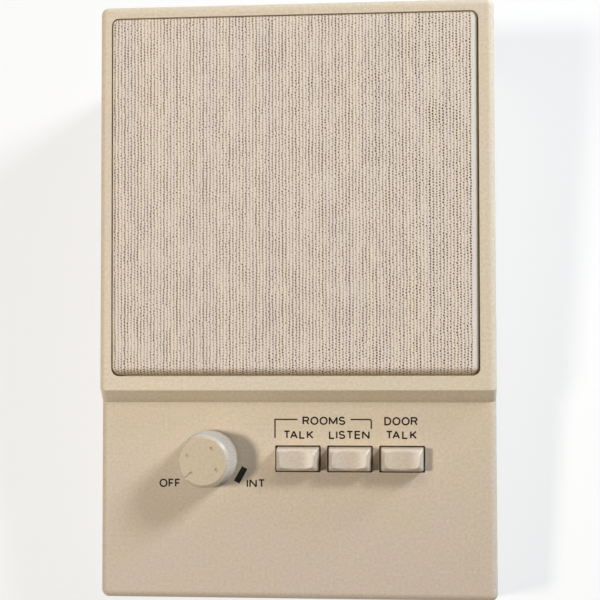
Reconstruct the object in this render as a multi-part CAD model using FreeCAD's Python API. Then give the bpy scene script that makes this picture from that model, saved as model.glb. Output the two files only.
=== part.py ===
import FreeCAD, Part
import math
import os
from FreeCAD import Placement, Rotation, Vector

# Vintage desk intercom: a low wedge-shaped console that lies face up on a table.
# World frame: X to the right, Y to the rear, Z up, with the origin on the table
# under the middle of the footprint.
# Face frame: u to the right, v up the face from its front edge, w out of the control panel.
# Sizes are in millimetres and angles in degrees.

# Face of the housing, measured on the photograph
face_width = 134.0
face_length = 201.0
corner_radius = 2.5
edge_radius = 2.4
step_start = 65.9
step_rise = 4.1
step_angle = 45.0
step_edge_radius = 0.5
frame_side = 5.0
frame_front = 4.8
frame_rear = 4.5

# Body of the housing
face_tilt = 8.0
front_height = 32.0
side_draft = 0.8
wall = 2.4
inner_corner_radius = 1.0

# Grille opening: a pocket in the raised frame, a little left of its middle,
# with a slotted floor in front of the speaker
grille_offset = -0.7
pocket_depth = 4.6
pocket_floor = 2.5
pocket_wall = 1.2
pocket_corner = 2.6
aperture_radius = 46.0
slot_width = 5.0
slot_pitch = 8.0

# Grille board and the cloth wrapped round it
grille_gap = 0.45
grille_sink = 0.2
cloth_thickness = 0.6
cloth_fold = 8.0
board_edge_radius = 1.0
peg_radius = 1.5
peg_inset = 14.0
peg_clearance = 0.1

# Base plate, its screws and feet
rim_height = 3.0
plate_recess = 0.5
plate_thickness = 2.5
plate_clearance = 0.3
plate_rib_height = 1.6
plate_rib_width = 1.6
plate_rib_spacing = 80.0
boss_radius = 3.8
boss_inset = 9.0
boss_pilot_depth = 12.0
base_screw_radius = 1.4
base_screw_head_radius = 3.0
base_screw_head_height = 1.8
screw_clearance = 0.2
screw_crown_share = 0.7
foot_radius = 6.0
foot_taper = 0.8
foot_inset = 20.0
foot_peg_radius = 2.0
foot_peg_clearance = 0.1
foot_barb = 0.6

# Cable grommet in the rear wall
grommet_height = 18.0
grommet_bore_radius = 3.0
grommet_hole_radius = 6.0
grommet_flange_radius = 8.0
grommet_flange = 2.2

# Controls: one row across the panel
control_row = 46.9
knob_u = -29.7
first_key_u = 0.4
key_pitch = 17.5
key_count = 3

# Volume knob
knob_gap = 1.0
knob_height = 14.0
knob_base_radius = 9.7
knob_shoulder_radius = 8.7
knob_face_radius = 7.6
knob_bevel_height = 1.3
knob_bevel_ease = 0.3
knob_rim_height = 0.8
knob_wall = 1.3
knob_face_wall = 1.8
knob_boss_radius = 4.8
knob_web_width = 1.2
flute_count = 100
flute_depth = 0.24
pointer_angle = 226.0
mark_ring_radius = 5.3
mark_radius = 0.6
mark_floor_radius = 0.4
mark_depth = 0.5
notch_width = 1.1
first_mark_turn = 104.0
second_mark_turn = 190.0
third_mark_turn = 292.0

# Volume potentiometer with its power switch
shaft_radius = 3.0
shaft_clearance = 0.05
shaft_end_gap = 0.6
shaft_flat = 1.6
shaft_flat_length = 6.5
clip_thickness = 0.3
clip_width = 2.6
clip_length = 5.0
clip_clearance = 0.04
bushing_radius = 3.5
bushing_height = 4.4
washer_radius = 6.2
washer_thickness = 0.5
nut_across_flats = 10.0
nut_height = 2.0
pot_radius = 8.2
pot_depth = 9.5
pot_skin = 0.6
pot_face_thickness = 1.2
wiper_radius = 6.2
wiper_thickness = 1.2
wiper_inset = 2.5
power_switch_radius = 7.6
power_switch_depth = 6.5
lug_width = 1.4
lug_thickness = 0.5
lug_pitch = 5.0

# Key caps
key_width = 14.6
key_length = 8.3
key_draft = 3.5
key_side_gap = 0.4
key_end_gap = 0.35
key_height = 6.6
key_skirt = 3.0
key_side_bevel = 1.05
key_end_bevel = 1.5
key_bevel_height = 1.3
key_dish_depth = 0.87
key_corner_radius = 0.4
key_face_corner_radius = 1.5
key_wall = 1.1
key_top_wall = 2.2
key_travel = 3.0
guide_wall = 1.1
guide_depth = 3.0
hole_corner_radius = 0.5

# Push-switch bank under the keys
rail_drop = 13.0
rail_thickness = 0.8
rail_flange = 4.5
rail_end_margin = 0.6
rail_leg_width = 6.0
switch_width = 15.0
switch_length = 12.0
switch_height = 10.2
switch_floor = 0.4
plunger_side = 4.0
plunger_clearance = 0.2
plunger_collar_radius = 4.0
plunger_collar_thickness = 1.0
plunger_collar_drop = 5.2
plunger_shoulder = 6.0
plunger_shoulder_height = 1.2
plunger_tail = 6.2
socket_clearance = 0.04
socket_wall = 1.1
spring_wire_radius = 0.25
spring_turn_count = 5
spring_section_count = 12
wire_side_count = 6
contact_width = 0.9
contact_thickness = 0.3
contact_height = 4.0
contact_pitch = 4.0

# Circuit board
board_width = 104.0
board_length = 56.0
board_front = 8.0
board_thickness = 1.6
standoff_radius = 3.0
standoff_inset = 5.5
board_screw_radius = 1.1
board_screw_head_radius = 2.4
board_screw_head_height = 1.5
board_screw_length = 7.0
slot_screw_width = 0.7
slot_screw_depth = 0.6

# Parts on the circuit board: rows are measured from its front edge, the transistors' from its far edge
lead_width = 0.5
transformer_u = 0.0
transformer_row = 14.0
transformer_width = 26.0
transformer_height = 17.0
transformer_stack = 12.0
transformer_limb = 5.0
transformer_coil_margin = 4.0
coil_clearance = 0.2
reservoir_u = 34.0
reservoir_row = 14.0
reservoir_radius = 6.5
reservoir_height = 18.0
can_groove = 0.4
capacitor_radius = 3.2
capacitor_height = 11.0
capacitor_pitch = 8.0
capacitor_u = -44.0
capacitor_row = 18.0
capacitor_count = 3
resistor_radius = 1.2
resistor_length = 6.4
resistor_span = 10.0
resistor_lift = 0.6
resistor_pitch = 4.0
resistor_u = -34.0
resistor_row = 8.0
resistor_count = 5
transistor_radius = 2.4
transistor_flat = 1.2
transistor_height = 4.6
transistor_lift = 4.0
transistor_pitch = 9.0
transistor_u = -10.0
transistor_inset = 6.5
transistor_count = 4
disc_radius = 3.0
disc_thickness = 1.8
disc_lift = 2.0
disc_pitch = 8.0
disc_u = 18.0
disc_row = 24.0
disc_count = 2

# Speaker: radii, and depths behind its front plane
gasket_thickness = 2.0
gasket_roll_gap = 0.8
flange_radius = 51.0
surround_outer_radius = 50.0
surround_thickness = 0.4
roll_inner_radius = 40.0
roll_outer_radius = 43.8
roll_height = 1.0
cone_lip = 1.4
cone_lip_gap = 0.1
sheet_thickness = 0.8
throat_radius = 43.4
ledge_outer_radius = 27.5
ledge_inner_radius = 22.6
ledge_depth = 12.5
basket_floor_radius = 21.5
basket_floor_depth = 17.7
basket_hole_radius = 10.6
window_outer_radius = 41.0
window_inner_radius = 29.5
window_angle = 58.0
ear_offset = 41.0
ear_radius = 5.5
stud_radius = 1.5
stud_length = 3.0
stud_seat_radius = 3.2
stud_clearance = 0.3
push_nut_radius = 4.0
push_nut_thickness = 0.5
top_plate_radius = 22.0
top_plate_thickness = 3.0
magnet_radius = 23.0
magnet_inner_radius = 11.0
magnet_thickness = 9.0
yoke_thickness = 3.0
pole_radius = 6.3
former_gap = 0.3
former_thickness = 0.2
coil_thickness = 0.3
coil_length = 6.0
coil_gap = 0.3
former_rise = 1.5
cone_thickness = 0.5
cone_neck_depth = 12.0
cone_neck_gap = 0.05
dust_cap_radius = 9.0
dust_cap_rise = 3.4
dust_cap_thickness = 0.4
spider_thickness = 0.3
spider_wave = 0.7
spider_wave_count = 3
spider_gap = 0.3
strip_width = 16.0
strip_height = 8.0
strip_thickness = 1.2
strip_lug_width = 3.0
strip_lug_length = 5.0
strip_lug_spacing = 8.0

# Terminal block on the base plate
block_rear_gap = 22.0
block_width = 52.0
block_length = 12.0
block_height = 5.0
barrier_height = 5.0
barrier_width = 1.2
terminal_count = 5
terminal_screw_radius = 1.2
terminal_screw_head_radius = 2.4
terminal_screw_head_height = 1.4
block_ear = 8.0
block_ear_recess = 1.0

# Insulated leads inside
lead_radius = 0.7
lead_bend = 3.0
lead_rise = 12.0
lead_spacing = 3.0
harness_reach = 6.0
harness_count = 4
harness_u = -26.0

# How closely an edge has to run upright, or keep to a level, to be picked out
upright_share = 0.9
tolerance = 0.001

# Values worked out from the sizes above
tilt = math.radians(face_tilt)
draft = math.tan(math.radians(side_draft))
step_run = step_rise / math.tan(math.radians(step_angle))
face_z = rim_height + front_height
face_depth = face_length * math.cos(tilt) - step_rise * math.sin(tilt)
front_foot = front_height * draft
front_y = front_foot - (front_foot + face_depth + grommet_flange) / 2
rear_y = front_y + face_depth
far = 2 * (face_width + face_length)

pocket_width = face_width - 2 * frame_side
pocket_front = step_start + step_run + frame_front
pocket_rear = face_length - frame_rear
pocket_length = pocket_rear - pocket_front
speaker_u = grille_offset
speaker_v = (pocket_front + pocket_rear) / 2
pocket_bed = step_rise - pocket_depth
pocket_under = pocket_bed - pocket_floor

plate_bottom = rim_height + plate_recess
plate_top = plate_bottom + plate_thickness
boss_x = face_width / 2 - boss_inset
foot_x = face_width / 2 - foot_inset

key_places = [first_key_u + key_pitch * number for number in range(key_count)]
keys_middle = first_key_u + key_pitch * (key_count - 1) / 2
key_names = ["rooms_talk", "rooms_listen", "door_talk"]
hole_width = key_width + 2 * key_side_gap
hole_length = key_length + 2 * key_end_gap
rail_under = -rail_drop - rail_thickness
board_top = rail_under - switch_height
board_under = board_top - board_thickness
board_rear = board_front + board_length
key_slant = math.tan(math.radians(key_draft))
key_shoulder = key_height - key_bevel_height
key_ceiling = key_height - key_top_wall

knob_top = knob_gap + knob_height
shaft_top = knob_top - knob_face_wall - shaft_end_gap
clip_gap = clip_thickness + 2 * clip_clearance

flange_level = pocket_under - gasket_thickness
flange_middle = (throat_radius + flange_radius) / 2
former_inner_radius = pole_radius + former_gap
former_outer_radius = former_inner_radius + former_thickness
coil_outer_radius = former_outer_radius + coil_thickness
basket_back = surround_thickness + basket_floor_depth + sheet_thickness
magnet_depth = basket_back + top_plate_thickness
yoke_depth = magnet_depth + magnet_thickness

face_place = Placement(Vector(0, front_y, face_z), Rotation(Vector(1, 0, 0), face_tilt))


def on_face(shape):
    """The shape moved from the face frame to the world frame."""
    moved = shape.copy()
    moved.Placement = face_place.multiply(moved.Placement)
    return moved


def face_coordinates(point):
    """A world point given in the face frame."""
    return face_place.inverse().multVec(point)


def single(shape):
    """The one solid inside the result of a cut or a union."""
    return shape.Solids[0] if len(shape.Solids) == 1 else shape


def joined(shapes):
    return single(shapes[0].multiFuse(shapes[1:]).removeSplitter())


def group(solids):
    return Part.makeCompound(solids)


def min_level(edge):
    return min(vertex.Point.z for vertex in edge.Vertexes)


def block(u, v, width, length, bottom, top):
    """A box centred at u, v between two levels."""
    return Part.makeBox(width, length, top - bottom, Vector(u - width / 2, v - length / 2, bottom))


def disc(u, v, radius, bottom, top):
    return Part.makeCylinder(radius, top - bottom, Vector(u, v, bottom))


def ring(u, v, outer, inner, bottom, top):
    return disc(u, v, outer, bottom, top).cut(disc(u, v, inner, bottom, top))


def polygon_face(points):
    return Part.Face(Part.makePolygon(points + [points[0]]))


def turned(u, v, profile):
    """A solid of revolution: the profile lists radius and level, about an upright axis at u, v."""
    section = polygon_face([Vector(radius, 0, level) for radius, level in profile])
    solid = section.revolve(Vector(0, 0, 0), Vector(0, 0, 1), 360)
    solid.translate(Vector(u, v, 0))
    return solid


def rounded_outline(u, v, width, length, radius, level):
    """A rectangle with round corners, as a closed wire of four lines and four arcs."""
    half_width = width / 2
    half_length = length / 2
    edges = []
    for quarter in range(4):
        turn = math.radians(90 * quarter)
        along = half_width if quarter % 2 == 0 else half_length
        across = half_length if quarter % 2 == 0 else half_width

        def place(x, y):
            return Vector(
                u + x * math.cos(turn) - y * math.sin(turn),
                v + x * math.sin(turn) + y * math.cos(turn),
                level,
            )

        side_end = place(along, across - radius)
        arc_end = place(along - radius, across)
        slant = radius * (1 - math.sqrt(0.5))
        arc_middle = place(along - slant, across - slant)
        edges.append(Part.LineSegment(place(along, radius - across), side_end).toShape())
        edges.append(Part.Arc(side_end, arc_middle, arc_end).toShape())
    return Part.Wire(edges)


def rounded_block(u, v, width, length, radius, bottom, top):
    outline = rounded_outline(u, v, width, length, radius, bottom)
    return Part.Face(outline).extrude(Vector(0, 0, top - bottom))


def save(name, shape):
    shape.exportStep("parts/" + name + ".step")


# Housing


def drafted_block(inset, low):
    """The footprint raised to a block: the sides and front spread towards the rim, the rear is upright."""
    high = face_z + face_length * math.sin(tilt) + 2 * step_rise

    def corners(level):
        half = face_width / 2 + (face_z - level) * draft - inset
        front = front_y - (face_z - level) * draft + inset
        rear = rear_y - inset
        return [
            Vector(-half, front, level),
            Vector(half, front, level),
            Vector(half, rear, level),
            Vector(-half, rear, level),
        ]

    lower = corners(low)
    upper = corners(high)
    faces = [polygon_face(lower[::-1]), polygon_face(upper)]
    for near in range(4):
        after = (near + 1) % 4
        faces.append(polygon_face([lower[near], lower[after], upper[after], upper[near]]))
    return Part.Solid(Part.Shell(faces))


def panel_region(inset):
    """All space under the control panel."""
    return on_face(block(0, 0, far, far, -far, -inset))


def raised_region(inset):
    """All space under the grille frame and behind the slope of the step."""
    start = step_start + inset * math.tan(math.radians(step_angle) / 2)
    top = step_rise - inset
    run = step_run
    deep = face_width
    drop = deep * run / step_rise
    profile = [
        Vector(-far / 2, start + run * top / step_rise + inset * run / step_rise, top),
        Vector(-far / 2, far, top),
        Vector(-far / 2, far, -inset - deep),
        Vector(-far / 2, start - drop, -inset - deep),
    ]
    return on_face(polygon_face(profile).extrude(Vector(far, 0, 0)))


def is_upright(edge):
    ends = [vertex.Point for vertex in edge.Vertexes]
    return len(ends) == 2 and abs((ends[1] - ends[0]).z) > upright_share * edge.Length


def is_at_level(edge, level):
    """Whether an edge lies in the plane at this level of the face frame."""
    first = edge.FirstParameter
    last = edge.LastParameter
    points = [edge.valueAt(first + share * (last - first)) for share in (0, 0.5, 1)]
    return all(abs(face_coordinates(point).z - level) < tolerance for point in points)


def is_step_edge(edge):
    """Whether an edge at the raised level is the crest of the step."""
    return all(face_coordinates(vertex.Point).y < pocket_front for vertex in edge.Vertexes)


def is_slope_side(edge):
    """Whether an edge runs down the side of the slope."""
    ends = [face_coordinates(vertex.Point) for vertex in edge.Vertexes]
    heights = [(end.y - step_start) * step_rise / step_run for end in ends]
    on_slope = all(abs(end.z - height) < tolerance for end, height in zip(ends, heights))
    return len(ends) == 2 and on_slope and abs(ends[0].z - ends[1].z) > step_rise


def lower_body():
    body = drafted_block(0, rim_height).common(panel_region(0))
    body = body.makeFillet(corner_radius, [edge for edge in body.Edges if is_upright(edge)])
    return body.makeFillet(edge_radius, [edge for edge in body.Edges if is_at_level(edge, 0)])


def raised_body():
    body = drafted_block(0, rim_height).common(raised_region(0))
    rear = [e for e in body.Edges if is_upright(e) and min(p.Point.y for p in e.Vertexes) > 0]
    body = body.makeFillet(corner_radius, rear)
    crest = [e for e in body.Edges if is_at_level(e, step_rise) and not is_step_edge(e)]
    sides = [e for e in body.Edges if is_slope_side(e)]
    body = body.makeFillet(edge_radius, crest + sides)
    front = [e for e in body.Edges if is_at_level(e, step_rise) and is_step_edge(e)]
    return body.makeFillet(step_edge_radius, front)


def cavity():
    """The hollow of the housing, open at the rim."""
    space = drafted_block(wall, 0)
    space = space.makeFillet(inner_corner_radius, [e for e in space.Edges if is_upright(e)])
    return space.common(panel_region(wall).fuse(raised_region(wall)))


def boss_places():
    near = front_y + boss_inset
    away = rear_y - boss_inset
    return [(side * boss_x, y) for side in (-1, 1) for y in (near, away)]


def standoff_places():
    u = board_width / 2 - standoff_inset
    near = board_front + standoff_inset
    away = board_rear - standoff_inset
    return [(side * u, v) for side in (-1, 1) for v in (near, away)]


def stud_places():
    sides = (-1, 1)
    return [(speaker_u + u * ear_offset, speaker_v + v * ear_offset) for u in sides for v in sides]


def peg_places():
    u = pocket_width / 2 - peg_inset
    v = pocket_length / 2 - peg_inset
    sides = (-1, 1)
    return [(speaker_u + across * u, speaker_v + along * v) for across in sides for along in sides]


def louvre():
    """Slots across the speaker aperture, cut off by its circle."""
    count = 2 * int((aperture_radius - slot_width) / slot_pitch) + 1
    low = pocket_under - wall
    slots = []
    for number in range(count):
        v = speaker_v + (number - (count - 1) / 2) * slot_pitch
        slots.append(block(speaker_u, v, 2 * aperture_radius, slot_width, low, step_rise))
    circle = disc(speaker_u, speaker_v, aperture_radius, low, step_rise)
    return circle.common(group(slots))


def front_housing():
    outside = joined([lower_body(), raised_body()])
    shell = outside.cut(cavity())
    added = [
        rounded_block(
            speaker_u,
            speaker_v,
            pocket_width + 2 * pocket_wall,
            pocket_length + 2 * pocket_wall,
            pocket_corner + pocket_wall,
            pocket_under,
            step_rise,
        ),
        block(
            keys_middle,
            control_row,
            key_pitch * (key_count - 1) + hole_width + 2 * guide_wall,
            hole_length + 2 * guide_wall,
            -wall - guide_depth,
            -wall / 2,
        ),
    ]
    added += [disc(u, v, standoff_radius, board_top, -wall / 2) for u, v in standoff_places()]
    seat = flange_level - surround_thickness
    added += [disc(u, v, stud_seat_radius, seat, pocket_bed) for u, v in stud_places()]
    stud_end = seat - sheet_thickness - stud_length
    added += [disc(u, v, stud_radius, stud_end, pocket_bed) for u, v in stud_places()]
    added = [on_face(shape) for shape in added]
    bosses = [Part.makeCylinder(boss_radius, far, Vector(x, y, plate_top)) for x, y in boss_places()]
    gussets = []
    for x, y in boss_places():
        reach = face_width / 2 - abs(x)
        middle = x + math.copysign(reach / 2, x)
        gussets.append(block(middle, y, reach, wall / 2, plate_top, far))
    added += [single(shape.common(outside)) for shape in bosses + gussets]
    shell = shell.multiFuse([shape.common(outside) for shape in added])
    removed = [
        rounded_block(speaker_u, speaker_v, pocket_width, pocket_length, pocket_corner, pocket_bed, far),
        louvre(),
        disc(knob_u, control_row, bushing_radius + shaft_clearance, -far, far),
    ]
    for u in key_places:
        removed.append(
            rounded_block(u, control_row, hole_width, hole_length, hole_corner_radius, -wall - far, far)
        )
    hole = peg_radius + peg_clearance
    removed += [disc(u, v, hole, pocket_under - wall, far) for u, v in peg_places()]
    pilot = board_screw_radius + screw_clearance / 2
    pilot_top = board_under + board_screw_length + screw_clearance
    removed += [disc(u, v, pilot, -far, pilot_top) for u, v in standoff_places()]
    removed = [on_face(shape) for shape in removed]
    pilot = base_screw_radius + screw_clearance / 2
    pilot_top = plate_top + boss_pilot_depth
    removed += [Part.makeCylinder(pilot, pilot_top, Vector(x, y, 0)) for x, y in boss_places()]
    removed.append(gland_hole())
    return single(shell.cut(group(removed)).removeSplitter())


# Grille


def grille_block(inset, bottom, top, rounding):
    """A block drawn in by an inset from the opening's walls, with its front edge rounded."""
    shape = rounded_block(
        speaker_u,
        speaker_v,
        pocket_width - 2 * inset,
        pocket_length - 2 * inset,
        pocket_corner - inset,
        bottom,
        top,
    )
    front_edges = [edge for edge in shape.Edges if min_level(edge) > top - tolerance]
    return shape.makeFillet(rounding, front_edges)


def grille_board():
    """The board under the cloth, open in front of the speaker, on four pegs in the pocket's floor."""
    level = pocket_bed + cloth_thickness
    front = step_rise - grille_sink - cloth_thickness
    board = grille_block(grille_gap + cloth_thickness, level, front, board_edge_radius)
    board = board.cut(disc(speaker_u, speaker_v, aperture_radius, level, front))
    pegs = [disc(u, v, peg_radius, pocket_under, level + cloth_thickness) for u, v in peg_places()]
    return joined([board] + pegs)


def grille_cloth():
    """The cloth over the front and edges of the board, folded a little way over its back."""
    front = step_rise - grille_sink
    back = pocket_bed + cloth_thickness
    outside = grille_block(grille_gap, pocket_bed, front, board_edge_radius + cloth_thickness)
    core = grille_block(grille_gap + cloth_thickness, back, front - cloth_thickness, board_edge_radius)
    margin = 2 * (grille_gap + cloth_fold)
    window = rounded_block(
        speaker_u,
        speaker_v,
        pocket_width - margin,
        pocket_length - margin,
        pocket_corner,
        pocket_bed,
        back,
    )
    return single(outside.cut(core).cut(window))


# Base


def foot_places():
    near = front_y + foot_inset
    away = rear_y - foot_inset
    return [(side * foot_x, y) for side in (-1, 1) for y in (near, away)]


def base_plate():
    plate = drafted_block(wall + plate_clearance, plate_bottom)
    plate = plate.makeFillet(inner_corner_radius, [e for e in plate.Edges if is_upright(e)])
    plate = plate.common(block(0, 0, far, far, plate_bottom, plate_top))
    rib_length = foot_places()[1][1] - foot_places()[0][1]
    ribs = []
    for side in (-1, 1):
        x = side * plate_rib_spacing / 2
        ribs.append(block(x, 0, plate_rib_width, rib_length, plate_bottom, plate_top + plate_rib_height))
    plate = plate.multiFuse(ribs)
    hole = base_screw_radius + screw_clearance
    holes = [disc(x, y, hole, plate_bottom, plate_top) for x, y in boss_places()]
    hole = foot_peg_radius + foot_peg_clearance
    holes += [disc(x, y, hole, plate_bottom, plate_top) for x, y in foot_places()]
    hole = terminal_screw_radius + screw_clearance / 2
    holes += [disc(x, block_y(), hole, plate_bottom, plate_top) for x in block_screw_places()]
    return single(plate.cut(group(holes)).removeSplitter())


def pan_screw(u, v, seat, length, shank, head, height, way):
    """A slotted screw: its head bears on the seat level and its shank runs the given way, up or down."""
    body = disc(u, v, shank, 0, length)
    crown = screw_crown_share * head
    top = turned(u, v, [(0, -height), (crown, -height), (head, -height / 2), (head, 0), (0, 0)])
    slot = block(u, v, 2 * head, slot_screw_width, -2 * height, -height + slot_screw_depth)
    screw = single(body.fuse(top).removeSplitter().cut(slot))
    if way < 0:
        screw.rotate(Vector(u, v, 0), Vector(1, 0, 0), 180)
    screw.translate(Vector(0, 0, seat))
    return screw


def base_screws():
    length = plate_thickness + boss_pilot_depth - screw_clearance
    sizes = (length, base_screw_radius, base_screw_head_radius, base_screw_head_height)
    return group([pan_screw(x, y, plate_bottom, *sizes, 1) for x, y in boss_places()])


def rubber_feet():
    profile = [
        (0, 0),
        (foot_radius - foot_taper, 0),
        (foot_radius, plate_bottom),
        (foot_peg_radius, plate_bottom),
        (foot_peg_radius, plate_top),
        (foot_peg_radius + foot_barb, plate_top),
        (foot_peg_radius - foot_barb, plate_top + 2 * foot_barb),
        (0, plate_top + 2 * foot_barb),
    ]
    return group([turned(x, y, profile) for x, y in foot_places()])


# Cable grommet


def along_rear(shape):
    """A shape built round an upright axis, laid along Y with level 0 at the rear wall's outer face."""
    turned_back = shape.copy()
    turned_back.rotate(Vector(0, 0, 0), Vector(1, 0, 0), -90)
    turned_back.translate(Vector(0, rear_y, grommet_height))
    return turned_back


def gland_hole():
    return along_rear(disc(0, 0, grommet_hole_radius, -2 * wall, wall))


def cable_grommet():
    inner = -wall - grommet_flange
    profile = [
        (grommet_bore_radius, inner),
        (grommet_flange_radius - grommet_flange / 2, inner),
        (grommet_flange_radius, -wall),
        (grommet_hole_radius, -wall),
        (grommet_hole_radius, 0),
        (grommet_flange_radius, 0),
        (grommet_flange_radius - grommet_flange / 2, grommet_flange),
        (grommet_bore_radius, grommet_flange),
    ]
    return along_rear(turned(0, 0, profile))


# Volume knob and potentiometer


def star(radius, level):
    """Outline of the fluted skirt: a crest and a groove for each flute."""
    points = []
    for number in range(2 * flute_count):
        angle = math.pi * number / flute_count
        reach = radius * (1 - flute_depth / knob_base_radius * (number % 2))
        points.append(Vector(reach * math.cos(angle), reach * math.sin(angle), level))
    return points


def fluted_skirt(low_radius, low, high_radius, high):
    lower = star(low_radius, low)
    upper = star(high_radius, high)
    faces = [polygon_face(lower[::-1]), polygon_face(upper)]
    for near in range(len(lower)):
        after = (near + 1) % len(lower)
        faces.append(polygon_face([lower[near], lower[after], upper[after], upper[near]]))
    return Part.Solid(Part.Shell(faces))


def knob_mark(turn):
    angle = math.radians(turn)
    centre = Vector(mark_ring_radius * math.cos(angle), mark_ring_radius * math.sin(angle), knob_top)
    return Part.makeCone(mark_floor_radius, mark_radius, mark_depth, centre - Vector(0, 0, mark_depth))


def at_knob(shape):
    """A knob piece turned so that its pointer rests at OFF, and moved onto the shaft's axis."""
    placed = shape.copy()
    placed.rotate(Vector(0, 0, 0), Vector(0, 0, 1), pointer_angle)
    placed.translate(Vector(knob_u, control_row, 0))
    return placed


def shaft_bore(clearance):
    """The space of the flatted shaft inside the knob, with room for the clip on the flat."""
    bore = disc(0, 0, shaft_radius + shaft_clearance, 0, shaft_top + shaft_end_gap / 2)
    flat = shaft_flat + clearance
    keep = block(flat / 2 - shaft_radius, 0, flat + 2 * shaft_radius, far, -far, far)
    round_end = shaft_top - shaft_flat_length
    return bore.common(keep.fuse(block(0, 0, far, far, -far, round_end)))


def volume_knob():
    shoulder = knob_top - knob_bevel_height
    rim_top = knob_gap + knob_rim_height
    slope = (knob_base_radius - knob_shoulder_radius) / (shoulder - rim_top)
    bevel = [
        (0, shoulder),
        (knob_shoulder_radius, shoulder),
        (knob_shoulder_radius, shoulder + knob_bevel_ease),
        (knob_face_radius + knob_bevel_ease, knob_top - knob_bevel_ease / 2),
        (knob_face_radius, knob_top),
        (0, knob_top),
    ]
    outside = joined([
        disc(0, 0, knob_base_radius, knob_gap, rim_top),
        fluted_skirt(knob_base_radius, rim_top, knob_shoulder_radius, shoulder),
        turned(0, 0, bevel),
    ])
    ceiling = knob_top - knob_face_wall
    hollow = turned(0, 0, [
        (0, knob_gap),
        (knob_base_radius - knob_wall, knob_gap),
        (knob_base_radius - knob_wall - slope * (ceiling - knob_gap), ceiling),
        (0, ceiling),
    ])
    boss_bottom = max(bushing_height, washer_thickness + nut_height) + knob_gap
    inside = [disc(0, 0, knob_boss_radius, boss_bottom, knob_top - knob_face_wall / 2)]
    web = hollow.common(block(0, 0, 2 * knob_base_radius, knob_web_width, boss_bottom, ceiling))
    inside.append(web)
    crossed = web.copy()
    crossed.rotate(Vector(0, 0, 0), Vector(0, 0, 1), 90)
    inside.append(crossed)
    knob = outside.cut(hollow).multiFuse(inside)
    notch_length = knob_shoulder_radius - mark_ring_radius
    notch_middle = mark_ring_radius + notch_length / 2
    notch = block(notch_middle, 0, notch_length, notch_width, knob_top - mark_depth, knob_top)
    marks = [knob_mark(turn) for turn in (0, first_mark_turn, second_mark_turn, third_mark_turn)]
    knob = knob.cut(group([shaft_bore(clip_gap)])).cut(notch)
    for mark in marks:
        knob = knob.cut(mark)
    return at_knob(single(knob.removeSplitter()))


def knob_clip():
    """A leaf of spring steel between the shaft's flat and the knob."""
    middle = shaft_top - clip_length / 2 - clip_clearance
    leaf = block(
        shaft_flat + clip_clearance + clip_thickness / 2,
        0,
        clip_thickness,
        clip_width,
        middle - clip_length / 2,
        middle + clip_length / 2,
    )
    return at_knob(leaf)


def wiper_level():
    return -wall - pot_face_thickness - wiper_inset


def potentiometer_shaft():
    bottom = wiper_level() - wiper_thickness
    shaft = disc(0, 0, shaft_radius, bottom, shaft_top)
    cut_off = block(shaft_flat + far / 2, 0, far, far, shaft_top - shaft_flat_length, shaft_top)
    return at_knob(single(shaft.cut(cut_off)))


def potentiometer_wiper():
    bottom = wiper_level() - wiper_thickness
    plate = ring(0, 0, wiper_radius, shaft_radius + shaft_clearance, bottom, wiper_level())
    arm = block(wiper_radius / 2 + shaft_radius / 2, 0, wiper_radius - shaft_radius, lug_width,
                bottom - lug_thickness, bottom + lug_thickness)
    arm = arm.cut(disc(0, 0, shaft_radius + shaft_clearance, bottom - lug_thickness, wiper_level()))
    plate = plate.fuse(arm)
    return at_knob(single(plate.removeSplitter()))


def potentiometer_bushing():
    """Threaded collar with the front plate of the potentiometer, bored for the shaft."""
    collar = disc(knob_u, control_row, bushing_radius, -wall, bushing_height)
    plate = disc(knob_u, control_row, pot_radius - pot_skin, -wall - pot_face_thickness, -wall)
    bored = joined([collar, plate])
    hole = shaft_radius + shaft_clearance
    bore = disc(knob_u, control_row, hole, -wall - pot_face_thickness, bushing_height)
    return single(bored.cut(bore))


def potentiometer_case():
    """Drawn metal cup behind the front plate."""
    top = -wall
    bottom = top - pot_depth
    cup = disc(knob_u, control_row, pot_radius, bottom, top)
    hollow = disc(knob_u, control_row, pot_radius - pot_skin, bottom + pot_skin, top)
    return single(cup.cut(hollow))


def power_switch():
    top = -wall - pot_depth
    bottom = top - power_switch_depth
    edge = pot_skin
    profile = [
        (0, bottom),
        (power_switch_radius - edge, bottom),
        (power_switch_radius, bottom + edge),
        (power_switch_radius, top),
        (0, top),
    ]
    return turned(knob_u, control_row, profile)


def potentiometer_lugs():
    """Three lugs of the track, each on an arm from the round case, and two of the switch."""
    lugs = []
    top = -wall - pot_depth / 2
    v = control_row - pot_radius - lug_thickness / 2
    case = disc(knob_u, control_row, pot_radius, -wall - pot_depth, -wall)
    for number in (-1, 0, 1):
        u = knob_u + number * lug_pitch
        lug = block(u, v, lug_width, lug_thickness, board_top, top)
        arm = block(u, v + pot_radius / 2, lug_width, pot_radius, top - lug_width, top)
        lugs.append(joined([lug, arm.cut(case)]))
    switch_end = -wall - pot_depth - power_switch_depth
    for side in (-1, 1):
        u = knob_u + side * lug_pitch / 2
        lugs.append(block(u, control_row, lug_thickness, lug_width, board_top, switch_end))
    return group(lugs)


def washer():
    hole = bushing_radius + shaft_clearance
    return ring(knob_u, control_row, washer_radius, hole, 0, washer_thickness)


def hex_nut():
    corner = nut_across_flats / 2 / math.cos(math.radians(30))
    points = []
    for number in range(6):
        angle = math.radians(60 * number)
        u = knob_u + corner * math.cos(angle)
        v = control_row + corner * math.sin(angle)
        points.append(Vector(u, v, washer_thickness))
    nut = polygon_face(points).extrude(Vector(0, 0, nut_height))
    hole = disc(knob_u, control_row, bushing_radius + shaft_clearance, 0, bushing_height)
    return single(nut.cut(hole))


# Keys and their switches


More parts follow.
